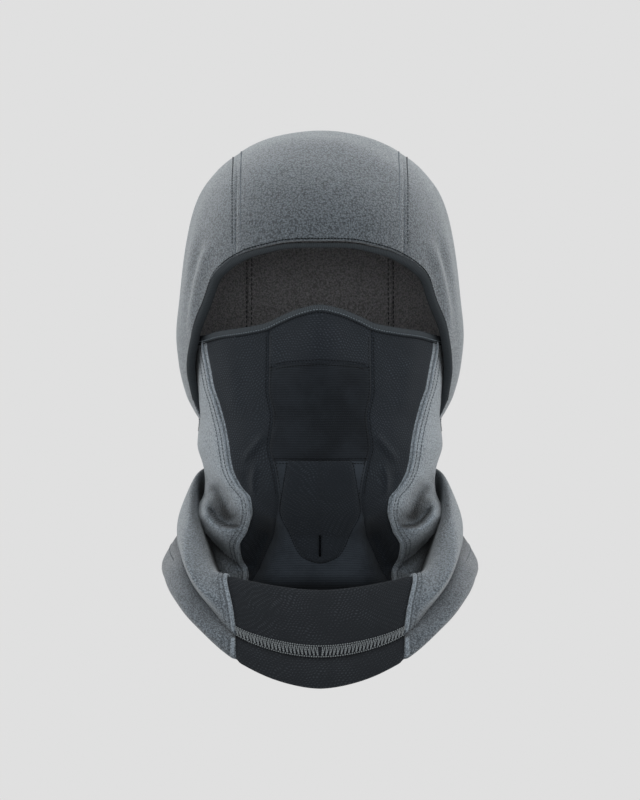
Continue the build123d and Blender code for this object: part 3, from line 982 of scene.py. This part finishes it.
def inward_panel(name, p, sides):
    """A lining panel, pinched away from the head so that its seams show as grooves inside."""
    n = facing_out(p, HEAD)
    inside_face = p - n * LINING
    shaped = pinch(inside_face, -n, sides, 0.9, 2.2)
    return closed_cloth(name, shaped, -facing_out(shaped, HEAD), LINING, M_LIGHTENED_LINING)


def hood_normals(out, lean, inset=0.0):
    """Points on the hood along a line of angles, and the normals there."""
    p = hood_surface(out, lean)
    step = 0.4
    da = hood_surface(out + step, lean) - hood_surface(out - step, lean)
    db = hood_surface(out, lean + step) - hood_surface(out, lean - step)
    n = np.cross(da, db)
    n /= np.linalg.norm(n, axis=1, keepdims=True)
    n *= np.sign(np.sum(n * (p - np.array(HEAD)), axis=1))[:, None]
    return p + n * (hood_folds(p) - inset)[:, None], n


def hood_line(out_of, inset=0.0, count=260, first=4.0, last=RIM_ANGLE - 2):
    """Points and normals along the hood, where the angle out is a function of the lean."""
    lean = np.linspace(float(edge_lean(out_of(60.0))) + first, last, count)
    return hood_normals(out_of(lean), lean, inset)


def spaced(p, n, pitch):
    """Evenly spaced points, normals and directions along a line."""
    length = np.insert(np.cumsum(np.linalg.norm(np.diff(p, axis=0), axis=1)), 0, 0)
    at = np.arange(pitch / 2, length[-1], pitch)
    point = np.stack([np.interp(at, length, p[:, k]) for k in range(3)], axis=1)
    normal = np.stack([np.interp(at, length, n[:, k]) for k in range(3)], axis=1)
    steps = [np.interp(at + 0.5, length, p[:, k]) - np.interp(at - 0.5, length, p[:, k]) for k in range(3)]
    ahead = np.stack(steps, 1)
    ahead /= np.maximum(np.linalg.norm(ahead, axis=1, keepdims=True), 1e-6)
    return point, normal, ahead


def stitch_tree():
    """Geometry Nodes: one rounded stitch at each point, lying along its direction."""
    tree = bpy.data.node_groups.new("stitch_rows", "GeometryNodeTree")
    face = tree.interface
    face.new_socket("Geometry", in_out="INPUT", socket_type="NodeSocketGeometry")
    for label in ("Length", "Width", "Height"):
        face.new_socket(label, in_out="INPUT", socket_type="NodeSocketFloat")
    face.new_socket("Finish", in_out="INPUT", socket_type="NodeSocketMaterial")
    face.new_socket("Geometry", in_out="OUTPUT", socket_type="NodeSocketGeometry")
    add = nodes_of(tree)
    given, result = add("NodeGroupInput"), add("NodeGroupOutput")
    ball = add("GeometryNodeMeshUVSphere")
    ball.inputs["Segments"].default_value = 8
    ball.inputs["Rings"].default_value = 5
    ball.inputs["Radius"].default_value = 0.5
    smooth = add("GeometryNodeSetShadeSmooth")
    turns = []
    for label, axis, pivot in (("ahead", "X", "AUTO"), ("up", "Z", "X")):
        read = add("GeometryNodeInputNamedAttribute", data_type="FLOAT_VECTOR")
        read.inputs["Name"].default_value = label
        turn = add("FunctionNodeAlignRotationToVector", axis=axis, pivot_axis=pivot)
        tree.links.new(read.outputs["Attribute"], turn.inputs["Vector"])
        turns.append(turn)
    tree.links.new(turns[0].outputs["Rotation"], turns[1].inputs["Rotation"])
    size = add("ShaderNodeCombineXYZ")
    for socket, label in zip(size.inputs, ("Length", "Width", "Height")):
        tree.links.new(given.outputs[label], socket)
    place = add("GeometryNodeInstanceOnPoints")
    real = add("GeometryNodeRealizeInstances")
    paint = add("GeometryNodeSetMaterial")
    tree.links.new(ball.outputs["Mesh"], smooth.inputs["Geometry"])
    tree.links.new(given.outputs["Geometry"], place.inputs["Points"])
    tree.links.new(smooth.outputs["Geometry"], place.inputs["Instance"])
    tree.links.new(turns[1].outputs["Rotation"], place.inputs["Rotation"])
    tree.links.new(size.outputs["Vector"], place.inputs["Scale"])
    tree.links.new(place.outputs["Instances"], real.inputs["Geometry"])
    tree.links.new(real.outputs["Geometry"], paint.inputs["Geometry"])
    tree.links.new(given.outputs["Finish"], paint.inputs["Material"])
    tree.links.new(paint.outputs["Geometry"], result.inputs["Geometry"])
    return tree


STITCHES = stitch_tree()


def stitches(name, rows, size, material):
    """Stitches as one mesh. A row is (points, normals, directions), and size is (length, width, height)."""
    points = np.concatenate([row[0] for row in rows])
    ups = np.concatenate([row[1] for row in rows])
    aheads = np.concatenate([row[2] for row in rows])
    mesh = bpy.data.meshes.new(name)
    mesh.from_pydata([tuple(v) for v in points * MM], [], [])
    for label, vectors in (("ahead", aheads), ("up", ups)):
        attribute = mesh.attributes.new(label, "FLOAT_VECTOR", "POINT")
        attribute.data.foreach_set("vector", vectors.astype(np.float32).ravel())
    holder = bpy.data.objects.new(name + "_points", mesh)
    bpy.context.scene.collection.objects.link(holder)
    modifier = holder.modifiers.new("stitches", "NODES")
    modifier.node_group = STITCHES
    sockets = {s.name: s.identifier for s in STITCHES.interface.items_tree if s.in_out == "INPUT"}
    for label, value in zip(("Length", "Width", "Height"), size):
        modifier[sockets[label]] = float(value * MM)
    modifier[sockets["Finish"]] = material
    bpy.context.view_layer.update()
    evaluated = holder.evaluated_get(bpy.context.evaluated_depsgraph_get())
    plain = bpy.data.meshes.new_from_object(evaluated)
    plain.name = name
    holder.modifiers.remove(modifier)
    bpy.data.objects.remove(holder)
    for extra in [a.name for a in plain.attributes if a.name in ("ahead", "up")]:
        plain.attributes.remove(plain.attributes[extra])
    if not plain.uv_layers.get("cloth"):
        layer = plain.uv_layers[0] if plain.uv_layers else plain.uv_layers.new(name="cloth")
        layer.name = "cloth"
    if not plain.materials:
        plain.materials.append(material)
    piece = bpy.data.objects.new(name, plain)
    bpy.context.scene.collection.objects.link(piece)
    return piece


def both_sides(rows):
    """Rows and their mirror images."""
    return rows + [tuple(mirrored(part) for part in row) for row in rows]


def make_hood_seams():
    """Double rows of stitches down the crown seams, outside and in the lining."""
    crown_rows = (("inner", -SEAM_GAP / 2, M_CROWN_LIGHT), ("outer", SEAM_GAP / 2, M_CROWN_THREAD))
    for name, shift, finish in crown_rows:
        line, normal = hood_line(seam_table(CROWN_SEAM + shift))
        row = spaced(line - normal * 0.05, normal, 2.4)
        piece = stitches(f"crown_{name}_stitches", both_sides([row]), (2.0, 0.8, 0.6), finish)
        keep(piece, "hood", "thread")
    out = np.linspace(-87, 87, 420)
    rim, normal = hood_normals(out, RIM_ANGLE - 1.6 + 0 * out)
    piece = stitches("rim_stitches", [spaced(rim, normal, 2.4)], (2.0, 0.8, 0.6), M_CROWN_THREAD)
    keep(piece, "hood", "thread")
    rows = []
    for shift in (-1.6, 1.6):
        line, normal = hood_line(seam_table(LINING_SEAM + shift), FLEECE + 0.4 + LINING)
        rows.append(spaced(line, -normal, 3.0))
    keep(stitches("lining_stitches", both_sides(rows), (2.4, 0.6, 0.5), M_DARK_THREAD), "hood", "thread")


def rounded_section(width, height, points=14):
    """A flattened round section, wide across and high out."""
    turn = np.linspace(0, 2 * math.pi, points, endpoint=False)
    c, s = np.cos(turn), np.sin(turn)
    across = width / 2 * np.sign(c) * np.abs(c) ** 0.6
    out = height / 2 * np.sign(s) * np.abs(s) ** 0.75
    return np.stack([across, out], axis=1)


def face_edge_line(count=420, shift=0.0):
    """Points, normals and angles out along the face edge, or a little behind it."""
    out = np.linspace(-88.5, 88.5, count)
    return *hood_normals(out, edge_lean(out) + shift), out


def make_brow_binding():
    """The tape round the face edge, and the stitched line beside it."""
    p, n, out = face_edge_line()
    taper = 0.5 + 0.5 * np.clip((90 - np.abs(out)) / 22, 0, 1) ** 0.7
    taper *= 0.62 + 0.38 * np.clip(np.abs(out) / 26, 0, 1) ** 2
    path = p - n * (FLEECE + LINING) / 2
    section = rounded_section(BINDING_WIDTH, FLEECE + LINING + 1.6)
    piece = sweep("brow_tape", path, n, section, M_BINDING, taper)
    keep(piece, "hood", "binding", "brow_binding")
    p, n, out = face_edge_line(420, 1.2)
    row = spaced(p[20:-20] + n[20:-20] * 0.25, n[20:-20], 2.0)
    keep(stitches("brow_stitches", [row], (2.1, 0.7, 0.7), M_DARK_THREAD), "hood", "thread")


def tube_grid(left, right, bottom, top, rows, columns):
    """A grid over the tube between two seams, as half widths, and two lines across them, as heights."""
    share = np.linspace(0, 1, columns)[None, :]
    up = np.linspace(0, 1, rows)[:, None]
    z = np.full((rows, columns), 150.0)
    x = np.zeros((rows, columns))
    for _ in range(30):
        x = 0.5 * x + 0.5 * (left(z) * (1 - share) + right(z) * share)
        z = 0.5 * z + 0.5 * (bottom(x) * (1 - up) + top(x) * up)
    return x, z


def tube_points(x, z):
    """Points on the tube from their half widths and heights."""
    return tube_surface(np.sign(x) * tube_angle(x, z), z)


def panel_seam(z):
    """Half width of the seams between the middle panels and the cheeks."""
    return table(PANEL_SEAM, z)


def fleece_seam(z):
    """Half width of the seams between the cheeks and the side fleece."""
    return table(FLEECE_SEAM, z)


def throat_edge(z):
    """Half width of the throat panel, which leaves the panel seams below the mouth."""
    return np.where(z > THROAT_TOP, table(PANEL_SEAM, z), table(THROAT_EDGE, z))


def shield_edge(z):
    """Half width of the chin shield."""
    return table(SHIELD_EDGE, z)


def mask_top(x):
    """Height of the mask's top edge."""
    return table(MASK_TOP, np.abs(x))


def nose_seam(x):
    """Height of the seam under the nose panel."""
    return table(NOSE_SEAM, np.abs(x))


def mouth_seam(x):
    """Height of the seam under the mouth panel."""
    return table(MOUTH_SEAM, np.abs(x))


def tube_floor(x):
    """Height of the tube's lower end in front."""
    return TUBE_FLOOR[0][1] + 0 * x


def shield_foot(x):
    """Height of the chin shield's lower end."""
    return SHIELD_EDGE[0][0] + 0.4 + 0 * x


def middle_grid(side, bottom, top, rows, columns):
    """A grid over the tube from one side seam to its mirror image."""
    return tube_grid(lambda z: -side(z), side, bottom, top, rows, columns)


def make_mask():
    """The nose, mouth and throat panels, the chin shield, the cheeks, the fleece sides and their seams."""
    p = tube_points(*middle_grid(panel_seam, nose_seam, mask_top, 34, 60))
    keep(tube_panel("nose_knit", p, "lrb", KNIT, M_MESH), "face", "mesh_knit", "nose_panel")
    p = tube_points(*middle_grid(panel_seam, mouth_seam, nose_seam, 56, 60))
    keep(tube_panel("mouth_knit", p, "lrbt", KNIT, M_SMOOTH), "face", "smooth_knit", "mouth_panel")
    p = tube_points(*middle_grid(throat_edge, tube_floor, mouth_seam, 70, 84))
    keep(tube_panel("throat_knit", p, "lrt", KNIT, M_THROAT), "face", "smooth_knit", "throat_panel")
    make_chin()
    cheek = tube_points(*tube_grid(throat_edge, fleece_seam, tube_floor, mask_top, 140, 34))
    for name, q in (("left", cheek), ("right", mirrored(cheek))):
        piece = tube_panel(f"cheek_knit_{name}", q, "lr", KNIT, M_MESH)
        keep(piece, "face", "mesh_knit", f"cheek_panel_{name}", f"jaw_panel_{name}")
    make_mask_sides()


def make_chin():
    """The chin shield, sewn over the throat cloth, with a short slit at the bottom of its middle."""
    x, z = middle_grid(shield_edge, shield_foot, mouth_seam, 56, 72)
    p = tube_points(x, z)
    slit = np.exp(-((x / 0.75) ** 2)) * np.clip((z - 80) / 2, 0, 1) * np.clip((94 - z) / 2, 0, 1)
    p = p + np.array([0, 1.0, 0]) * (3.0 * slit)[..., None] - np.array([0, CHIN_LIFT, 0])
    keep(tube_panel("chin_knit", p, "lrt", CHIN_LIFT, M_CHIN, 0.5, 1.4), "face", "mesh_knit", "chin_panel")


def make_mask_sides():
    """The fleece at each side of the mask, from the cheek seam to the cut edge under the ear."""
    rows, columns = 150, 44
    share = np.linspace(0, 1, columns)[None, :]
    up = np.linspace(0, 1, rows)[:, None]
    z = np.full((rows, columns), 150.0)
    for _ in range(40):
        start = tube_angle(fleece_seam(z), z)
        angle = start * (1 - share) + SIDE_END * share
        x = table(TUBE_WIDTH, z) * np.sin(np.radians(np.minimum(angle, 90))) ** (2 / TUBE_SQUARENESS)
        z = 0.5 * z + 0.5 * (table(TUBE_FLOOR, angle) * (1 - up) + mask_top(x) * up)
    side = tube_surface(angle, z)
    for name, q in (("left", side), ("right", mirrored(side))):
        piece = tube_panel(f"mask_side_fleece_{name}", q, "l", FLEECE, M_LIGHTENED_SIDE_FLEECE, 0.7, 1.6)
        keep(piece, "face", "fleece", f"mask_side_{name}", f"jaw_side_{name}")
    make_mask_seams()


def tube_line(x, z, lift=0.0, angle=None):
    """Points and outward normals along a line on the tube."""
    a = np.sign(x) * tube_angle(x, z) if angle is None else angle
    p = tube_surface(a, z)
    da = tube_surface(a + 0.5, z) - tube_surface(a - 0.5, z)
    dz = tube_surface(a, z + 0.4) - tube_surface(a, z - 0.4)
    n = np.cross(da, dz)
    n /= np.linalg.norm(n, axis=1, keepdims=True)
    n *= np.sign(n[:, 0:1] * p[:, 0:1] + n[:, 1:2] * (p[:, 1:2] - TUBE_Y))
    return p + n * lift, n


def make_mask_seams():
    """The tape along the mask's top, flatlock down the fleece seams, and stitches along the knit seams."""
    angle = np.linspace(-SIDE_END, SIDE_END, 320)
    z = np.full(angle.shape, 215.0)
    for _ in range(12):
        x = table(TUBE_WIDTH, z) * np.sin(np.radians(np.minimum(np.abs(angle), 90))) ** (2 / TUBE_SQUARENESS)
        z = mask_top(x)
    p, n = tube_line(x, z, -KNIT / 2, angle)
    keep(sweep("mask_tape", p, n, rounded_section(4.6, 3.4), M_MASK_TAPE), "face", "binding", "mask_binding")
    for name, drop, lift, finish in (("light", 1.5, 1.0, M_THREAD), ("dark", 2.9, 0.3, M_DARK_THREAD)):
        edge, edge_normal = tube_line(x, z - drop, lift, angle)
        row = spaced(edge[8:-8], edge_normal[8:-8], 1.9)
        keep(stitches(f"mask_tape_{name}_stitches", [row], (1.4, 0.65, 0.6), finish), "face", "thread")
    z = np.linspace(52.0, 213.0, 300)
    p, n = tube_line(fleece_seam(z) + 1.5, z, 0.7)
    taper = np.clip(np.minimum(z - z[0], z[-1] - z) / 5, 0.25, 1)
    for name, q, m in (("left", p, n), ("right", mirrored(p), mirrored(n))):
        piece = sweep(f"mask_flatlock_{name}", q, m, rounded_section(2.8, 1.5, 12), M_FLATLOCK, taper)
        keep(piece, "face", "thread")
    rows = []
    for shift in (3.3, 5.4):
        p, n = tube_line(fleece_seam(z) + shift, z, 0.3)
        rows.append(spaced(p, n, 2.2))
    piece = stitches("mask_flatlock_stitches", both_sides(rows), (1.8, 0.7, 0.5), M_SEAM_THREAD)
    keep(piece, "face", "thread")
    make_knit_stitches()


def make_knit_stitches():
    """Stitches along the knit seams and round the chin shield, and a near-black bar in the slit at its foot,
    a painted shadow.
    """
    rows = []
    z = np.linspace(118, 214, 160)
    for shift in (-1.5, 1.5):
        p, n = tube_line(table(PANEL_SEAM, z) + shift, z, -0.25)
        rows += both_sides([spaced(p, n, 2.0)])
    for line in (NOSE_SEAM, MOUTH_SEAM):
        for shift in (-1.5, 1.5):
            x = np.linspace(-27, 27, 90)
            p, n = tube_line(x, table(line, np.abs(x)) + shift, -0.25)
            rows.append(spaced(p, n, 2.0))
    z = np.linspace(SHIELD_EDGE[0][0] + 0.6, MOUTH_SEAM[0][1], 130)
    p, n = tube_line(table(SHIELD_EDGE, z) + 0.5, z, 0.1)
    rows += both_sides([spaced(p, n, 1.8)])
    keep(stitches("knit_stitches", rows, (1.6, 0.6, 0.5), M_DARK_THREAD), "face", "thread")
    # A near-black bar set in the chin slit: painted shadow.
    z = np.linspace(80.5, 93.5, 24)
    p, n = tube_line(0 * z, z, 0.35)
    keep(sweep("chin_slit", p + n * 0.6, n, rounded_section(1.0, 0.7, 8), M_SLIT_SHADOW), "face", "thread")


def make_nape():
    """The back of the neck, from side to side behind, with a stitched seam and the tacks that hold it."""
    angle = np.linspace(SIDE_END - 1.0, 360 - SIDE_END + 1.0, 180)[None, :]
    z = np.linspace(96.0, TUBE_TOP_BACK, 66)[:, None]
    angle, z = angle + 0 * z, z + 0 * angle
    turned = np.where(angle > 180, angle - 360, angle)
    p = tube_surface(turned, z)
    p[..., 2] = z
    keep(panel("nape_fleece", p, NECK, "", FLEECE, M_NECK_FLEECE), "neck", "fleece", "nape_panel")
    z = np.linspace(128, 160, 40)
    rows = []
    for shift in (-1.4, 1.4):
        q = np.stack([np.full(z.shape, shift), TUBE_Y + table(TUBE_BACK, z), z], axis=1)
        rows.append(spaced(q + np.array([0, 0.3, 0]), np.tile([0, 1.0, 0], (len(z), 1)), 2.4))
    keep(stitches("nape_stitches", rows, (1.9, 0.7, 0.6), M_SEAM_THREAD), "neck", "thread")
    make_tacks()


def make_tacks():
    """Bar tacks beside the ears and a short roll of tape at the nape, where the hood and mask are sewn on."""
    for name, side in (("left", 1), ("right", -1)):
        low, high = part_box(f"hinge_tack_{name}")
        y, z = (low[1] + high[1]) / 2 / MM, (low[2] + high[2]) / 2 / MM
        height = np.linspace(-3.6, 3.6, 9)
        x = side * table(TUBE_WIDTH, z + height)
        p = np.stack([x + side * 0.2, np.full(9, y), z + height], axis=1)
        n = np.tile([float(side), 0, 0], (9, 1))
        rows = [(p, n, np.tile([0, 1.0, 0], (9, 1)))]
        keep(stitches(f"side_tack_{name}", rows, (4.6, 0.85, 0.9), M_SEAM_THREAD), "neck", "thread",
             f"hinge_tack_{name}")
    low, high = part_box("nape_roll")
    x = np.linspace(low[0], high[0], 40) / MM
    y = np.full(40, (low[1] + high[1]) / 2 / MM - 4.5)
    p = np.stack([x, y, np.full(40, low[2] / MM)], axis=1)
    n = np.tile([0, 1.0, 0], (40, 1))
    keep(sweep("nape_tape", p, n, rounded_section(5.0, 2.6), M_MASK_TAPE), "neck", "thread", "nape_roll")


def net_grid(surface, stations, columns, rows):
    """A grid of a collar surface between two stations."""
    t = np.linspace(*stations, columns)[None, :] + 0 * rows
    return surface(t, rows + 0 * t)


def rolled_panel(name, p, thick, material, sides, flip, shade):
    """A panel of the collar or hem. Its outer face looks away from the fold that it rolls round."""
    shaped = pinch(p, surface_normals(p) * flip, sides, 0.9, 1.8)
    return closed_cloth(name, shaped, surface_normals(shaped) * flip, thick, material, shade)


def make_collar():
    """The bib, the cowl and the hem flange under them."""
    last = len(COLLAR) - 1.0
    rows = np.linspace(0, last, 104)[:, None]
    keep(middle_panel("bib_knit", collar_surface, rows, collar_shade), "neck", "smooth_knit", "bib_panel",
         "fold_front")
    cowl = net_grid(collar_surface, (BIB_STATION, LAST_STATION), 260, rows)
    for name, q, flip in (("left", cowl, OUT), ("right", mirrored(cowl), -OUT)):
        shade = collar_shade(q, rows)
        piece = rolled_panel(f"cowl_fleece_{name}", q, FLEECE, M_NECK_FLEECE, "lr", flip, shade)
        keep(piece, "neck", "fleece", f"collar_{name}", f"fold_{name}")
    rows = np.linspace(0, len(HEM) - 1.0, 48)[:, None]
    keep(middle_panel("hem_knit", hem_surface, rows, hem_shade), "neck", "smooth_knit", "hem_front")
    hem = net_grid(hem_surface, (BIB_STATION, LAST_STATION), 240, rows)
    for name, q, flip in (("left", hem, OUT), ("right", mirrored(hem), -OUT)):
        piece = rolled_panel(f"hem_fleece_{name}", q, FLEECE, M_HEM_FLEECE, "lr", flip, hem_shade(q, rows))
        keep(piece, "neck", "hem_fleece", f"hem_{name}")
    make_collar_seams()


def middle_panel(name, surface, rows, shade):
    """A panel across the middle of the collar, from its left half and that half's mirror image."""
    half = net_grid(surface, (0, BIB_STATION), 50, rows)
    other = mirrored(half)[:, :0:-1]
    p = np.concatenate([other, half], axis=1)
    return rolled_panel(name, p, KNIT, M_BIB, "lr", OUT, shade(p, rows))


def collar_line(surface, station, row, lift):
    """Points and outward normals along a line on a collar surface."""
    p = surface(station, row)
    dt = surface(station + 0.02, row) - surface(station - 0.02, row)
    ds = surface(station, row + 0.02) - surface(station, row - 0.02)
    n = OUT * np.cross(dt, ds)
    n /= np.linalg.norm(n, axis=1, keepdims=True)
    return p + n * lift, n


def make_collar_seams():
    """Flatlock beside the bib and down the back, and the ladder stitching across the bib."""
    rows, bars = [], []
    for surface, span in ((collar_surface, (1.2, 4.95)), (hem_surface, (1.15, 2.72))):
        s = np.linspace(*span, 120)
        p, n = collar_line(surface, BIB_STATION + 0.07 + 0 * s, s, -0.1)
        bars.append((p, n, np.clip(np.minimum(s - s[0], s[-1] - s) / 0.12, 0.3, 1)))
        for shift in (0.17, 0.33):
            q, m = collar_line(surface, BIB_STATION + shift + 0 * s, s, 0.2)
            rows.append(spaced(q, m, 2.2))
    for number, (p, n, taper) in enumerate(bars):
        for name, q, m in (("left", p, n), ("right", mirrored(p), mirrored(n))):
            part = ("bib", "hem")[number]
            piece = sweep(f"{part}_flatlock_{name}", q, m, rounded_section(2.6, 1.6, 12), M_FLATLOCK, taper)
            keep(piece, "neck", "thread")
    s = np.linspace(2.6, 4.9, 80)
    p, n = collar_line(collar_surface, LAST_STATION - 0.05 + 0 * s, s, 0.2)
    rows.append(spaced(p, n, 2.4))
    piece = stitches("bib_flatlock_stitches", both_sides(rows), (1.8, 0.7, 0.5), M_SEAM_THREAD)
    keep(piece, "neck", "thread")
    t = np.linspace(5.0, LAST_STATION, 300)
    p, n = collar_line(hem_surface, t, 1.35 + 0 * t, 0.05)
    piece = stitches("hem_stitches", both_sides([spaced(p, n, 2.6)]), (1.7, 0.6, 0.5), M_SEAM_THREAD)
    keep(piece, "neck", "thread")
    make_ladder()


def make_ladder():
    """Two rails of looped thread with leaning rungs between them, and faint pricks under the fold."""
    t = np.linspace(0, BIB_STATION - 0.03, 160)
    low, low_n = collar_line(collar_surface, t, LADDER_ROWS[1] + 0 * t, 0.35)
    high, high_n = collar_line(collar_surface, t, LADDER_ROWS[0] + 0 * t, 0.35)
    rails = both_sides([spaced(low, low_n, 1.45), spaced(high, high_n, 1.45)])
    keep(stitches("ladder_rails", rails, (1.2, 0.9, 0.8), M_LADDER), "neck", "thread", "hem_stitch")
    rungs = []
    for lean in (0.25, 0.95):
        first = spaced(low, low_n, 2.3)
        second = spaced(high, high_n, 2.3)
        count = min(len(first[0]), len(second[0]))
        a = first[0][:count]
        b = second[0][:count] + second[2][:count] * lean * 2.2
        for share in (0.2, 0.4, 0.6, 0.8):
            ahead = (b - a) / np.linalg.norm(b - a, axis=1, keepdims=True)
            rungs.append((a + (b - a) * share + first[1][:count] * 0.15, first[1][:count], ahead))
    keep(stitches("ladder_rungs", both_sides(rungs), (1.7, 0.8, 0.75), M_LADDER), "neck", "thread")
    t = np.linspace(0.9, BIB_STATION - 0.1, 80)
    p, n = collar_line(collar_surface, t, 3.18 + 0 * t, 0.0)
    pricks = both_sides([spaced(p, n, 2.3)])
    keep(stitches("bib_pricks", pricks, (0.8, 0.45, 0.35), M_BINDING), "neck", "thread")


make_hood()
make_mask()
make_nape()
make_collar()

# ------------------------------------------------------------------------------------------- bodies and cloth

FACE_START = (0, -0.045, 0.085)
FACE_END = (0, -0.095, 0.225)


def book_pieces():
    """Puts each piece on its body, in place of its plain nodes."""
    for piece, body, slot, nodes in made.values():
        if body == "face":
            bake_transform(piece, "neck", "mask", start=FACE_START, end=FACE_END)
        else:
            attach(piece, body)
        if nodes:
            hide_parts(*nodes)


def is_sheet(name):
    """Whether a piece is a cloth panel."""
    words = name.split("_")
    return ("knit" in words or "fleece" in words) and "stitches" not in words


def declare_sheets():
    """Reads the lengths in every cloth panel's UVs, and does nothing more with them."""
    for name, (piece, *_) in made.items():
        if not is_sheet(name):
            continue
        mesh = piece.data
        uv = np.zeros(len(mesh.loops) * 2, dtype=np.float32)
        mesh.uv_layers["cloth"].data.foreach_get("uv", uv)


book_pieces()
declare_sheets()

# --------------------------------------------------------------------------------------- floor, light, camera


def make_floor():
    """A plain pale floor."""
    material = bpy.data.materials.new("pale_floor")
    material.use_nodes = True
    tree = material.node_tree
    tree.nodes.clear()
    glow = tree.nodes.new("ShaderNodeEmission")
    glow.inputs["Color"].default_value = (*[BACKDROP] * 3, 1)
    tree.links.new(glow.outputs[0], tree.nodes.new("ShaderNodeOutputMaterial").inputs["Surface"])
    size = FLOOR_REACH
    corners = [(-size, -size), (size, -size), (size, size), (-size, size)]
    mesh = bpy.data.meshes.new("floor")
    mesh.from_pydata([(x, y, FLOOR_HEIGHT) for x, y in corners], [], [(0, 1, 2, 3)])
    mesh.materials.append(material)
    floor = bpy.data.objects.new("floor", mesh)
    bpy.context.scene.collection.objects.link(floor)


def make_world():
    """A plain pale background."""
    world = bpy.data.worlds.new("studio")
    world.use_nodes = True
    world.node_tree.nodes["Background"].inputs["Color"].default_value = (*[BACKDROP] * 3, 1)
    world.node_tree.nodes["Background"].inputs["Strength"].default_value = 1.0
    bpy.context.scene.world = world


def make_light(name, place, size, power):
    """A soft light that faces the head."""
    data = bpy.data.lights.new(name, "AREA")
    data.shape = "RECTANGLE"
    data.size, data.size_y = size
    data.energy = power
    light = bpy.data.objects.new(name, data)
    light.location = place
    bpy.context.scene.collection.objects.link(light)
    aim = np.array([0, 0, 0.17]) - np.array(place)
    light.rotation_euler = Vector(aim).to_track_quat("-Z", "Y").to_euler()


def make_camera():
    """A camera straight ahead with a long lens."""
    data = bpy.data.cameras.new("camera")
    data.lens = 36.0 * CAMERA_AWAY / VIEW_HEIGHT
    camera = bpy.data.objects.new("camera", data)
    camera.location = (0, -CAMERA_AWAY, CAMERA_HEIGHT)
    camera.rotation_euler = (math.radians(90), 0, 0)
    bpy.context.scene.collection.objects.link(camera)
    bpy.context.scene.camera = camera


make_floor()
make_world()
make_light("top_light", (0, -0.1, 1.5), (1.4, 1.2), 9.0)
make_light("left_light", (1.5, 0.1, 0.4), (0.8, 1.4), 8.0)
make_light("right_light", (-1.5, 0.1, 0.4), (0.8, 1.4), 8.0)
make_light("front_light", (0, -3.4, 0.1), (1.6, 1.2), 42.0)
make_camera()
bpy.context.scene.view_settings.view_transform = "Standard"
